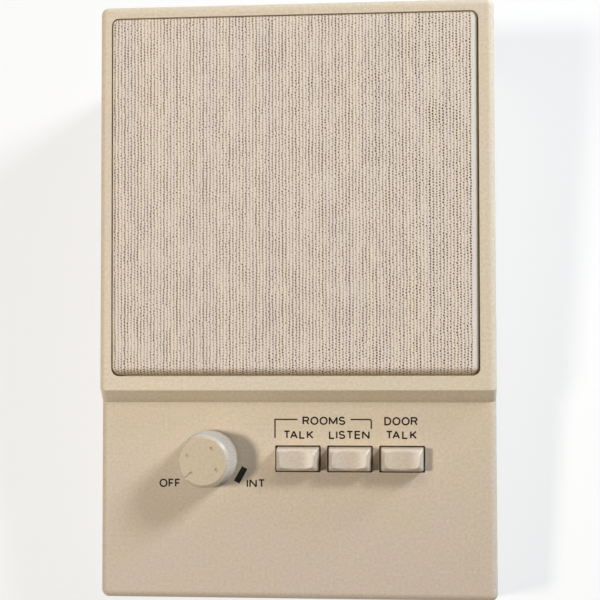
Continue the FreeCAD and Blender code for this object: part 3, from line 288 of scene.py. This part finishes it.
def housing_plastic():
    """The moulding's plastic: palest on the frame of the opening, a little darker and less yellow
    towards the front edge of the panel, with a band of painted shadow below the keys.
    """
    finish = Finish("housing_plastic")
    u, v, w = finish.axes()
    # The panel's tone shifts from the front edge to the step, and the raised frame takes a paler tone.
    panel = finish.mixed(finish.step(v, *PANEL_FADE), PANEL_LOW, PANEL_HIGH)
    panel_and_frame = finish.mixed(finish.step(w, *FRAME_FADE), panel, FRAME_TONE)
    # Painted shadow: a band below the keys is darkened by up to 15 percent, standing in for the shadow
    # that the keys cast.
    beside = finish.step(u, *KEY_SHADOW_LEFT) * (1 - finish.step(u, *KEY_SHADOW_RIGHT))
    below = finish.step(v, *KEY_SHADOW_FOOT) * (1 - finish.step(v, *KEY_SHADOW_HEAD))
    colour = finish.shaded(panel_and_frame, 1 - beside * below * 0.15)
    across = u - RUBBED_PLACE[0]
    along = v - RUBBED_PLACE[1]
    reach = (across * across + along * along) ** 0.5
    return aged_plastic(finish, colour, 1 - finish.step(reach, *RUBBED_FADE))


def knob_plastic():
    """The knob's plastic: its fluted skirt and bevel ring painted pale and cool, a painted light for the
    cool side light on them; each flute painted lighter on its ridge and darker in its groove, painted
    highlight and shade.
    """
    finish = Finish("knob_plastic")
    u, v, w = finish.axes()
    turn = u.math("ARCTAN2", v - KNOB_PLACE[1], u - KNOB_PLACE[0])
    flutes = abs((turn * (FLUTE_COUNT / (2 * math.pi))) % 1.0 - 0.5) * 2
    skirt = 1 - finish.step(w, KNOB_SHOULDER - 0.3, KNOB_SHOULDER)
    ring = 1 - finish.step(w, KNOB_SHOULDER, KNOB_SHOULDER + 1.2)
    # Painted light: the skirt and bevel ring take a pale bluish tone for the cool side light that falls
    # on them.
    pale = finish.mixed(ring * 0.6, KNOB_TONE, SKIRT_LIT_TONE)
    # Painted highlight and shade: the skirt is darkened overall, lightest on each flute's ridge and
    # darkest in its groove.
    colour = finish.shaded(pale, 1.0 + skirt * (flutes * 0.34 - 0.2))
    return aged_plastic(finish, colour, roughness=0.26, ribs=skirt * flutes)


def key_plastic():
    """The keys' plastic: bevels painted lighter above, a painted highlight, and darker below, a painted
    shade, as light from above falls on them.
    """
    finish = Finish("key_plastic")
    u, v, w = finish.axes()
    # Painted light: the bevel above each key's face is lightened by a tenth and the one below is
    # darkened by about a quarter.
    low = 1 - finish.step(v, KEY_MIDDLE - 2.9, KEY_MIDDLE - 2.4)
    high = finish.step(v, KEY_MIDDLE + 2.4, KEY_MIDDLE + 3.0)
    colour = finish.shaded(KEY_TONE, 1.0 + high * 0.1 - low * 0.24)
    return aged_plastic(finish, colour, roughness=0.26)


def moulded_plastic(name, colour, roughness=0.45):
    """Plain moulded plastic or rubber with faint flow marks and a fine skin."""
    finish = Finish(name)
    flow = finish.noise(6.0, 3.0, place=finish.product(finish.place, (1.0, 0.3, 1.0)))
    skin = finish.noise(0.3, 2.0)
    light = 0.88 + flow * 0.16 + skin * 0.08
    return finish.done(
        finish.shaded(colour, light), roughness - 0.08 + skin * 0.16, finish.relief(skin, 0.012)
    )


def drawn_metal(name, colour, roughness=0.32):
    """Plated or turned metal with fine lines and a clouded sheen."""
    finish = Finish(name)
    lines = finish.noise(0.25, 2.0, place=finish.product(finish.place, (0.12, 1.0, 1.0)))
    clouds = finish.noise(3.0, 3.0)
    light = 0.86 + clouds * 0.2 + lines * 0.06
    shine = roughness - 0.06 + clouds * 0.12 + lines * 0.08
    return finish.done(finish.shaded(colour, light), shine, finish.relief(lines, 0.006), metal=1.0)


def pressed_fibre(name, colour, grain=0.5):
    """Paper, card or doped cloth: matted fibres in a dull sheet."""
    finish = Finish(name)
    mat = finish.noise(grain, 4.0, 0.7)
    blots = finish.noise(grain * 9, 2.0)
    light = 0.72 + mat * 0.4 + blots * 0.14
    return finish.done(finish.shaded(colour, light), 0.88, finish.relief(mat, 0.05))


def wound_wire(name, colour):
    """Layers of enamelled wire, one turn beside the next, each turn painted darker where its relief is
    lowest and lighter where it is highest, a painted shade and highlight.
    """
    finish = Finish(name)
    u, v, w = finish.axes()
    turns = abs((w / 0.3) % 1.0 - 0.5) * 2
    # Painted shade and highlight: the colour follows the relief of the turns, darkest where it is
    # lowest.
    light = 0.55 + turns * 0.5 + finish.noise(2.0) * 0.1
    return finish.done(
        finish.shaded(colour, light), 0.3 + turns * 0.1, finish.relief(turns, 0.1), metal=0.8
    )


def stacked_steel(name, colour):
    """Varnished transformer sheets seen edge on."""
    finish = Finish(name)
    u, v, w = finish.axes()
    sheets = abs((v / 0.5) % 1.0 - 0.5) * 2
    light = 0.7 + finish.step(sheets, 0.0, 0.3) * 0.25 + finish.noise(1.5) * 0.12
    dull = 0.4 + finish.noise(0.8) * 0.2
    return finish.done(finish.shaded(colour, light), dull, finish.relief(sheets, 0.05), metal=0.7)


def board_laminate():
    """Tan paper laminate, glossy, with the copper runs showing faintly through it."""
    finish = Finish("board_laminate")
    u, v, w = finish.axes()
    fibre = finish.noise(0.5, 4.0, 0.7)
    runs = finish.step(abs((u / 4.0 + finish.noise(14.0) * 1.6) % 1.0 - 0.5), 0.18, 0.24)
    tone = finish.mixed(runs, tint(196, 158, 104), tint(148, 126, 82))
    return finish.done(
        finish.shaded(tone, 0.86 + fibre * 0.24), 0.22 + fibre * 0.14, finish.relief(fibre, 0.01)
    )


def grille_weave():
    """Speaker cloth: pale upright ribs with rows of small openings between them, the openings painted
    dark as painted shade seen through them; painted shade in the grooves along the columns and on the
    bottom roll, and a cool painted light on the right roll.
    """
    finish = Finish("grille_weave")
    flat = finish.node("UVMap", {"uv_map": "flat_cloth"}, {})
    across, along, depth = finish.axes(flat)
    sway = finish.noise(8.0, 2.0, place=flat) * 0.5 + finish.noise(2.2, 1.0, place=flat) * 0.16
    column = (across + sway) / COLUMN_PITCH
    number = math.floor(column)
    side = column - number - 0.5
    own = finish.random(finish.point(number, 0.0, 0.0))
    cycle = number % 4.0
    rank = 0.62 + own * 0.18 + (cycle < 1.5) * 0.12 + (cycle < 0.5) * 0.14
    swell = finish.noise(1.0, 3.0, place=finish.point(number * 0.43, along * 0.09, 0.0))
    level = rank * (0.6 + finish.step(swell, 0.3, 0.65) * 0.5)
    wander = finish.noise(7.0, 2.0, place=flat) * 1.6 + finish.noise(1.6, 1.0, place=flat) * 0.3
    row = along / ROW_PITCH + (number % 2.0) * 0.5 + own * 0.3 + wander
    row_number = math.floor(row)
    rise = row - row_number - 0.5
    chance = finish.random(finish.point(number, row_number, 1.0))
    lean = side + (chance - 0.5) * 0.3
    reach = (lean * lean * COLUMN_PITCH ** 2 + rise * rise * ROW_PITCH ** 2) ** 0.5
    hole = (1 - finish.step(reach, 0.12, 0.4)) * (0.6 + chance * 0.7)
    closed = finish.step(across, *ROLL_CLOSES)
    strength = finish.step(hole * level * (1 - closed), 0.0, 0.9)
    groove = (1 - finish.step(abs(side), 0.08, 0.48)) * (1 - closed)
    fleck = finish.noise(0.5, 2.0, 0.6, place=flat)
    streak = finish.noise(1.0, 2.0, place=finish.product(flat, (0.3, 0.012, 1.0)))
    light = 0.81 + fleck * 0.34 + streak * 0.1
    thread = finish.mixed(finish.step(streak, 0.35, 0.65), THREAD_COOL, THREAD_WARM)
    # Painted shade: the thread colour is mixed towards a brown shade along the groove of each column.
    groove_shaded = finish.mixed(groove * (0.1 + level * 0.3), thread, GROOVE_SHADE)
    # Painted light: where the openings close on the right roll, the colour goes pale and cool, standing
    # in for the cool side light on that roll.
    clad = finish.mixed(closed * 0.8, groove_shaded, RIGHT_ROLL_LIGHT)
    # Painted shade: the bottom roll, which faces away from the lamps, darkens towards its lower edge.
    roll_shaded = finish.mixed(finish.step(along, *LOWER_ROLL), BOTTOM_ROLL_SHADE, clad)
    # Painted shade: the openings take a dark brown that stands in for the shade seen through them; the
    # cloth sheet itself has no holes.
    colour = finish.mixed(strength, finish.shaded(roll_shaded, light), HOLE_SHADE)
    height = 0.6 - groove * 0.25 - strength * 0.6 + fleck * 0.25
    return finish.done(
        colour,
        0.85,
        finish.relief(height, 0.14),
        Sheen_Weight=0.05,
        Sheen_Roughness=0.5,
        Specular_IOR_Level=0.2,
    )


def panel_ink(name, colour):
    """Screen-printed ink, slightly thin and broken over the grain of the plastic."""
    finish = Finish(name)
    wear = finish.noise(0.35, 3.0, 0.7)
    tone = finish.mixed(finish.step(wear, 0.66, 0.82), colour, tint(96, 80, 62))
    skin = finish.relief(wear, 0.01)
    return finish.done(tone, 0.5 + wear * 0.15, skin, Specular_IOR_Level=0.12)


PANEL_HIGH = tint(204, 187, 162)
PANEL_LOW = tint(198, 181, 162)
FRAME_TONE = tint(212, 196, 171)
KNOB_TONE = tint(195, 177, 150)
KEY_TONE = tint(199, 183, 163)
# Painted light: the bluish tone of the knob's side-lit skirt.
SKIRT_LIT_TONE = tint(200, 192, 184)
THREAD_COOL = tint(225, 211, 199)
THREAD_WARM = tint(226, 211, 193)
# Painted shade in the grooves of the weave.
GROOVE_SHADE = tint(178, 158, 132)
# Painted shade seen through the cloth's openings.
HOLE_SHADE = tint(62, 36, 16)
# Painted light: the pale cool tone of the cloth's right roll.
RIGHT_ROLL_LIGHT = tint(218, 214, 208)
# Painted shade on the cloth's bottom roll.
BOTTOM_ROLL_SHADE = tint(184, 166, 140)
LOWER_ROLL = (FLAT_ORIGIN - CLOTH_BOTTOM + 0.4, FLAT_ORIGIN - CLOTH_BOTTOM + 2.9)
ROLL_CLOSES = (FLAT_ORIGIN + CLOTH_RIGHT - 2.3, FLAT_ORIGIN + CLOTH_RIGHT - 1.4)

FINISHES = {
    "housing_plastic": housing_plastic(),
    "knob_plastic": knob_plastic(),
    "key_plastic": key_plastic(),
    "base_plastic": moulded_plastic("base_plastic", tint(104, 88, 74), 0.55),
    "board_plastic": moulded_plastic("board_plastic", tint(64, 58, 52), 0.55),
    "feet_rubber": moulded_plastic("feet_rubber", tint(40, 40, 40), 0.8),
    "grommet_rubber": moulded_plastic("grommet_rubber", tint(46, 44, 42), 0.75),
    "wiper_phenolic": moulded_plastic("wiper_phenolic", tint(98, 66, 40), 0.35),
    "switch_phenolic": moulded_plastic("switch_phenolic", tint(92, 54, 34), 0.35),
    "block_phenolic": moulded_plastic("block_phenolic", tint(34, 34, 34), 0.35),
    "transistor_epoxy": moulded_plastic("transistor_epoxy", tint(32, 32, 34), 0.5),
    "capacitor_sleeve": moulded_plastic("capacitor_sleeve", tint(40, 60, 112), 0.28),
    "ceramic_coat": moulded_plastic("ceramic_coat", tint(196, 124, 60), 0.3),
    "resistor_body": moulded_plastic("resistor_body", tint(196, 164, 116), 0.3),
    "plunger_plastic": moulded_plastic("plunger_plastic", tint(226, 222, 208), 0.4),
    "lead_insulation": moulded_plastic("lead_insulation", tint(160, 46, 38), 0.4),
    "zinc_steel": drawn_metal("zinc_steel", tint(190, 190, 184), 0.34),
    "spring_steel": drawn_metal("spring_steel", tint(176, 176, 178), 0.26),
    "shaft_aluminium": drawn_metal("shaft_aluminium", tint(206, 206, 208), 0.3),
    "bushing_brass": drawn_metal("bushing_brass", tint(206, 176, 104), 0.28),
    "nut_brass": drawn_metal("nut_brass", tint(206, 202, 190), 0.22),
    "tinned_brass": drawn_metal("tinned_brass", tint(204, 203, 198), 0.3),
    "magnet_ferrite": moulded_plastic("magnet_ferrite", tint(62, 62, 66), 0.5),
    "lamination_steel": stacked_steel("lamination_steel", tint(120, 120, 124)),
    "coil_copper": wound_wire("coil_copper", tint(196, 112, 62)),
    "gasket_card": pressed_fibre("gasket_card", tint(140, 112, 80), 0.6),
    "surround_cloth": pressed_fibre("surround_cloth", tint(54, 50, 46), 0.35),
    "spider_cloth": pressed_fibre("spider_cloth", tint(196, 156, 92), 0.3),
    "cone_paper": pressed_fibre("cone_paper", tint(66, 62, 58), 0.7),
    "board_laminate": board_laminate(),
    "grille_cloth": grille_weave(),
}

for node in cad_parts.values():
    for clad in node.material_slots:
        clad.material = FINISHES[clad.material.name]


# Pieces


def piece(name, mesh, finish):
    """A mesh in the face frame's millimetres, set in place and dressed."""
    mesh.transform(FACE_PLACE)
    mesh.materials.clear()
    mesh.materials.append(finish)
    made = bpy.data.objects.new(name, mesh)
    bpy.context.scene.collection.objects.link(made)
    return made


def spread(start, end, count):
    return [start + (end - start) * number / count for number in range(count + 1)]


def wrapped(length, roll):
    """Distance out and level of the cloth at a path length past the start of its rolled edge."""
    arc = roll * math.pi / 2
    wall = CLOTH_FRONT - CLOTH_BACK - roll - REAR_TURN
    if length <= 0:
        return length, CLOTH_FRONT
    if length <= arc:
        angle = length / roll
        return roll * math.sin(angle), CLOTH_FRONT - roll * (1 - math.cos(angle))
    if length <= arc + wall:
        return roll, CLOTH_FRONT - roll - (length - arc)
    angle = (length - arc - wall) / REAR_TURN
    if angle <= math.pi / 2:
        return roll - REAR_TURN * (1 - math.cos(angle)), CLOTH_BACK + REAR_TURN * (1 - math.sin(angle))
    return roll - REAR_TURN * (1 + angle - math.pi / 2), CLOTH_BACK


class ClothSide:
    """The cloth from its middle over one edge of the board: the stops along it and its hem."""

    def __init__(self, half, roll, corners):
        shoulder = half - roll
        wall_foot = shoulder + roll * math.pi / 2 + CLOTH_FRONT - CLOTH_BACK - roll - REAR_TURN
        self.half = half
        self.roll = roll
        self.hem = wall_foot + REAR_TURN * math.pi / 2
        self.end = self.hem + CLOTH_FOLD - REAR_TURN
        self.stops = spread(0, half - corners[0], 38)
        self.stops += [half - corner for corner in corners[1:]]
        self.stops += spread(shoulder, shoulder + roll * math.pi / 2, 8)
        self.stops += spread(wall_foot, self.hem, 3)
        self.stops += spread(self.hem, self.end, 4)[1:]

    def place(self, stop):
        """Distance from the middle and level at a stop."""
        out, level = wrapped(stop - (self.half - self.roll), self.roll)
        return self.half - self.roll + out, level


def cloth_place(s, t, side_u, side_v, corner):
    """Where the cloth's point at the path lengths s and t lies, in the quarter between two sides."""
    past_u = s - (side_u.half - corner)
    past_v = t - (side_v.half - corner)
    if past_u > 0 and past_v > 0:
        turn = math.atan2(past_v, past_u)
        share = turn / (math.pi / 2)
        roll = side_u.roll + (side_v.roll - side_u.roll) * share
        flat = corner - roll
        out, level = wrapped(max(past_u, past_v) - flat, roll)
        reach = flat + out
        u = side_u.half - corner + reach * math.cos(turn)
        v = side_v.half - corner + reach * math.sin(turn)
        return u, v, level
    u, level_u = side_u.place(s)
    v, level_v = side_v.place(t)
    return u, v, min(level_u, level_v)


def grille_cloth():
    """The cloth drawn over the board's front and edges, its corners cut and its hems folded back."""
    left = ClothSide(CLOTH_LEFT, LEFT_ROLL, [BOTTOM_CORNER, TOP_CORNER])
    right = ClothSide(CLOTH_RIGHT, RIGHT_ROLL, [BOTTOM_CORNER, TOP_CORNER])
    top = ClothSide(CLOTH_TOP, TOP_ROLL, [TOP_CORNER])
    bottom = ClothSide(CLOTH_BOTTOM, BOTTOM_ROLL, [BOTTOM_CORNER])
    columns = [-stop for stop in left.stops[:0:-1]] + right.stops
    rows = [-stop for stop in bottom.stops[:0:-1]] + top.stops
    work = bmesh.new()
    flat_layer = work.loops.layers.uv.new("flat_cloth")
    grid = {}
    for i, s in enumerate(columns):
        for j, t in enumerate(rows):
            side_u = right if s > 0 else left
            side_v = top if t > 0 else bottom
            corner = TOP_CORNER if t > 0 else BOTTOM_CORNER
            u, v, level = cloth_place(abs(s), abs(t), side_u, side_v, corner)
            inside = min(side_u.half - abs(s), side_v.half - abs(t))
            flatness = max(0.0, min(1.0, inside / 20))
            slack = CLOTH_SLACK * math.cos(s * 0.05 + t * 0.013) * math.cos(t * 0.06)
            u = CLOTH_MIDDLE[0] + math.copysign(u, s)
            v = CLOTH_MIDDLE[1] + math.copysign(v, t)
            grid[i, j] = work.verts.new((u, v, level + slack * flatness))
    for i in range(len(columns) - 1):
        for j in range(len(rows) - 1):
            s = (columns[i] + columns[i + 1]) / 2
            t = (rows[j] + rows[j + 1]) / 2
            side_u = right if s > 0 else left
            side_v = top if t > 0 else bottom
            corner = TOP_CORNER if t > 0 else BOTTOM_CORNER
            behind_u = abs(s) > side_u.hem and abs(t) > side_v.half - corner
            behind_v = abs(t) > side_v.hem and abs(s) > side_u.half - corner
            if behind_u or behind_v:
                continue
            corners = [(i, j), (i + 1, j), (i + 1, j + 1), (i, j + 1)]
            face = work.faces.new([grid[corner] for corner in corners])
            face.smooth = True
            for loop, (a, b) in zip(face.loops, corners):
                loop[flat_layer].uv = (columns[a] + FLAT_ORIGIN, rows[b] + FLAT_ORIGIN)
    stray = [vert for vert in work.verts if not vert.link_faces]
    bmesh.ops.delete(work, geom=stray, context="VERTS")
    mesh = bpy.data.meshes.new("speaker_cloth")
    work.to_mesh(mesh)
    work.free()
    cloth = piece("speaker_cloth", mesh, FINISHES["grille_cloth"])
    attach(cloth, "housing")
    body = cloth.modifiers.new("thickness", "SOLIDIFY")
    body.thickness = CLOTH_THICKNESS * MM
    body.offset = -1
    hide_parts("grille_cloth")
    width = left.end + right.end
    length = bottom.end + top.end
    cut = 0
    for side_v, corner in ((top, TOP_CORNER), (bottom, BOTTOM_CORNER)):
        for side_u in (left, right):
            centre_u = side_u.half - corner
            centre_v = side_v.half - corner
            cut += (side_u.end - centre_u) * (side_v.end - centre_v)
            cut -= (side_u.hem - centre_u) * (side_v.hem - centre_v)
    flat = (width * MM, length * MM)
    area = (width * length - cut) * MM**2


def bow(centre_x, centre_y, radius_x, radius_y, start, end):
    """Points along part of an oval, its angles in degrees."""
    angles = [math.radians(angle) for angle in spread(start, end, 14)]
    return [(centre_x + radius_x * math.cos(x), centre_y + radius_y * math.sin(x)) for x in angles]


# Each letter: its width over its height, then its strokes in a box from (0, 0) to (1, 1)
LETTERS = {
    "A": (0.93, [(0, 0), (0.5, 1)], [(0.5, 1), (1, 0)], [(0.2, 0.32), (0.8, 0.32)]),
    "D": (0.84, [(0, 0), (0, 1), (0.4, 1), *bow(0.4, 0.5, 0.6, 0.5, 84, -84), (0.4, 0), (0, 0)]),
    "E": (0.77, [(1, 1), (0, 1), (0, 0), (1, 0)], [(0, 0.52), (0.92, 0.52)]),
    "F": (0.66, [(1, 1), (0, 1), (0, 0)], [(0, 0.5), (0.9, 0.5)]),
    "I": (0.2, [(0.5, 0), (0.5, 1)]),
    "K": (0.81, [(0, 0), (0, 1)], [(1, 1), (0, 0.34)], [(0.34, 0.56), (1, 0)]),
    "L": (0.72, [(0, 1), (0, 0), (1, 0)]),
    "M": (1.06, [(0, 0), (0, 1)], [(0, 1), (0.5, 0.1)], [(0.5, 0.1), (1, 1)], [(1, 1), (1, 0)]),
    "N": (0.92, [(0, 0), (0, 1)], [(0, 1), (1, 0)], [(1, 0), (1, 1)]),
    "O": (0.98, [*bow(0.5, 0.5, 0.5, 0.5, 90, 450)]),
    "R": (0.81, [(0, 0), (0, 1), (0.6, 1), *bow(0.6, 0.76, 0.4, 0.24, 80, -80), (0.6, 0.52), (0, 0.52)],
          [(0.6, 0.52), (1, 0)]),
    "S": (0.8, [*bow(0.5, 0.75, 0.46, 0.25, 22, 262), *bow(0.5, 0.25, 0.5, 0.25, 82, -160)]),
    "T": (0.85, [(0, 1), (1, 1)], [(0.5, 0), (0.5, 1)]),
}


def ribbon(work, points, width, level):
    """A printed line of even width along the points, mitred where it turns."""
    rows = []
    for number, point in enumerate(points):
        here = Vector(point)
        before = Vector(points[max(number - 1, 0)])
        after = Vector(points[min(number + 1, len(points) - 1)])
        closed = points[0] == points[-1] and number in (0, len(points) - 1)
        if closed:
            before = Vector(points[-2])
            after = Vector(points[1])
        runs = [run.normalized() for run in (here - before, after - here) if run.length > 0]
        along = sum(runs, Vector((0, 0))).normalized()
        across = Vector((-along.y, along.x)) * (width / 2 / along.dot(runs[0]))
        left = here + across
        right = here - across
        rows.append(
            [
                work.verts.new((left.x, left.y, -INK_ROOT)),
                work.verts.new((left.x, left.y, level)),
                work.verts.new((right.x, right.y, level)),
                work.verts.new((right.x, right.y, -INK_ROOT)),
            ]
        )
    for start, end in zip(rows, rows[1:]):
        for near in range(4):
            after = (near + 1) % 4
            work.faces.new([start[near], end[near], end[after], start[after]])
    work.faces.new(rows[0][::-1])
    work.faces.new(rows[-1])


def lettered(work, word, left, right, base, top):
    """A word in thin plain capitals that fills the space given."""
    height = top - base
    widths = [LETTERS[letter][0] * height for letter in word]
    pairs = zip(word, word[1:])
    shares = [CLOSE_GAP if first + second == CLOSE_PAIR else 1.0 for first, second in pairs]
    gap = (right - left - sum(widths)) / sum(shares)
    inset = LETTER_LINE / 2
    for letter, width, share in zip(word, widths, [*shares, 0.0]):
        for number, stroke in enumerate(LETTERS[letter][1:]):
            points = [
                (left + inset + x * (width - LETTER_LINE), base + inset + y * (height - LETTER_LINE))
                for x, y in stroke
            ]
            ribbon(work, points, LETTER_LINE, INK_HEIGHT + number * INK_STEP)
        left += width + gap * share


def printed(name, work, ink):
    """Finished print, with its faces turned outward."""
    bmesh.ops.recalc_face_normals(work, faces=work.faces)
    mesh = bpy.data.meshes.new(name)
    work.to_mesh(mesh)
    work.free()
    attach(piece(name, mesh, ink), "housing")


def panel_print():
    """The words and the bracket over the two room keys."""
    work = bmesh.new()
    lettered(work, "OFF", -46.86, -39.6, 37.1, 40.0)
    lettered(work, "INT", -17.05, -10.75, 37.15, 39.97)
    lettered(work, "ROOMS", 1.95, 16.41, 58.25, 61.1)
    lettered(work, "TALK", -4.5, 5.65, 53.6, 56.4)
    lettered(work, "LISTEN", 10.85, 24.55, 53.55, 56.35)
    lettered(work, "DOOR", 29.45, 40.57, 58.15, 61.0)
    lettered(work, "TALK", 29.95, 40.32, 53.6, 56.4)
    down = [(BRACKET_LEFT, BRACKET_LEFT_FOOT), (BRACKET_LEFT, BRACKET_LEVEL)]
    ribbon(work, [*down, (BRACKET_BREAK[0], BRACKET_LEVEL)], BRACKET_LINE, INK_HEIGHT)
    centre_u = BRACKET_RIGHT - BRACKET_TURN
    centre_v = BRACKET_LEVEL - BRACKET_TURN
    top = [(BRACKET_BREAK[1], BRACKET_LEVEL), (centre_u, BRACKET_LEVEL)]
    turn = bow(centre_u, centre_v, BRACKET_TURN, BRACKET_TURN, 84, 6)
    end = [(BRACKET_RIGHT, centre_v), (BRACKET_RIGHT, BRACKET_RIGHT_FOOT)]
    ribbon(work, [*top, *turn, *end], BRACKET_LINE, INK_HEIGHT)
    printed("panel_lettering", work, panel_ink("lettering_ink", tint(34, 24, 15)))


def volume_mark():
    """The short black bar beside the knob that its pointer is set against."""
    work = bmesh.new()
    ribbon(work, [MARK_TOP, MARK_FOOT], MARK_LINE, INK_HEIGHT)
    printed("volume_mark", work, panel_ink("mark_ink", tint(34, 32, 27)))


def return_spring(key):
    """The coil under a key, which on the real switch shortens on its foot as the plunger comes down on
    its head; here it is a fixed copy of the key's spring, set in its place.
    """
    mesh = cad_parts[key + "_spring"].data.copy()
    mesh.transform(FACE_PLACE.inverted())
    coil = piece(key + "_coil", mesh, FINISHES["spring_steel"])
    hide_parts(key + "_spring")
    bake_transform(coil)


grille_cloth()
panel_print()
volume_mark()
for key in KEYS:
    return_spring(key)


# Camera, lamps and floor

CAMERA_POINT = Vector((36.06, 79.41, 419.92))
CAMERA_YAW = 0.0808
CAMERA_PITCH = 0.0264
CAMERA_ROLL = -0.002
FOCAL_PIXELS = 1248.33
PICTURE_PIXELS = 600
MIDDLE_X = 2.6
MIDDLE_Y = 29.21
LAMP_TARGET = Vector((0, 0, 0.045))
DAYLIGHT_STRENGTH = 0.05
FLOOR_GLOW = 0.65


def camera():
    data = bpy.data.cameras.new("camera")
    data.sensor_width = 36.0
    data.lens = 36.0 * FOCAL_PIXELS / PICTURE_PIXELS
    data.shift_x = -MIDDLE_X / PICTURE_PIXELS
    data.shift_y = MIDDLE_Y / PICTURE_PIXELS
    data.clip_start = 0.01
    made = bpy.data.objects.new("camera", data)
    turn = (
        Matrix.Rotation(FACE_TILT, 4, "X")
        @ Matrix.Rotation(CAMERA_YAW, 4, "Y")
        @ Matrix.Rotation(CAMERA_PITCH, 4, "X")
        @ Matrix.Rotation(CAMERA_ROLL, 4, "Z")
    )
    made.matrix_world = Matrix.Translation(FACE_PLACE @ CAMERA_POINT) @ turn
    bpy.context.scene.collection.objects.link(made)
    bpy.context.scene.camera = made


def lamp(name, aim, distance, size, share, colour):
    """A square soft lamp along a direction of the face frame, giving this share of plain light."""
    data = bpy.data.lights.new(name, "AREA")
    data.size = size
    data.color = colour
    tilt = Matrix.Rotation(FACE_TILT, 3, "X")
    ray = tilt @ Vector(aim).normalized() * distance
    slant = Vector(aim).normalized().z
    data.energy = share * math.pi**2 * distance**2 / slant
    made = bpy.data.objects.new(name, data)
    place = LAMP_TARGET + ray
    made.matrix_world = Matrix.Translation(place) @ ray.to_track_quat("Z", "Y").to_matrix().to_4x4()
    bpy.context.scene.collection.objects.link(made)


def seen(nodes):
    """1 where the camera looks, or a reflection or clear glass shows what is there."""
    camera_ray, glossy_ray, clear_ray = (
        nodes.node("LightPath", {}, {}, name)
        for name in ("Is Camera Ray", "Is Glossy Ray", "Is Transmission Ray")
    )
    return camera_ray.most(glossy_ray).most(clear_ray)


def daylight():
    """Even pale light from all round, white where the camera or a reflection meets it."""
    world = bpy.data.worlds.new("daylight")
    world.use_nodes = True
    bpy.context.scene.world = world
    nodes = Nodes(world.node_tree)
    sky = nodes.tree.nodes["Background"]
    nodes.feed(sky.inputs["Color"], (1.0, 0.975, 0.94))
    nodes.feed(sky.inputs["Strength"], DAYLIGHT_STRENGTH)
    white = nodes.node("Background", {}, {"Color": (1.0, 1.0, 1.0), "Strength": 1.0})
    lit = nodes.node("MixShader", {}, {0: seen(nodes), 1: Signal(nodes, sky.outputs[0]), 2: white})
    nodes.feed(nodes.tree.nodes["World Output"].inputs["Surface"], lit)


def table_top():
    """A large plain pale floor, whiter to the camera than to the object it lights."""
    work = bmesh.new()
    bmesh.ops.create_circle(work, cap_ends=True, radius=4.0, segments=96)
    mesh = bpy.data.meshes.new("table_top")
    work.to_mesh(mesh)
    work.free()
    finish = Finish("table_top")
    mesh.materials.append(finish.done(tint(234, 233, 230), 0.7))
    glow = finish.node("Emission", {}, {"Color": (1.0, 1.0, 1.0), "Strength": 1.0})
    plain = Signal(finish, finish.shader.outputs[0])
    lit = finish.node("MixShader", {}, {0: seen(finish) * FLOOR_GLOW, 1: plain, 2: glow})
    finish.feed(finish.tree.nodes["Material Output"].inputs["Surface"], lit)
    made = bpy.data.objects.new("table_top", mesh)
    bpy.context.scene.collection.objects.link(made)


camera()
lamp(
    "lamp_left",
    aim=(-0.51, -0.03, 0.86),
    distance=1.3,
    size=0.18,
    share=0.585,
    colour=(1.0, 0.945, 0.875),
)
lamp(
    "lamp_rear",
    aim=(0.67, 0.54, 0.51),
    distance=1.3,
    size=0.3,
    share=0.325,
    colour=(0.91, 0.95, 0.98),
)
lamp(
    "lamp_low",
    aim=(0.78, 0.61, 0.12),
    distance=1.3,
    size=0.3,
    share=0.09,
    colour=(0.56, 0.74, 1.0),
)
daylight()
table_top()
bpy.context.scene.view_settings.view_transform = "Standard"
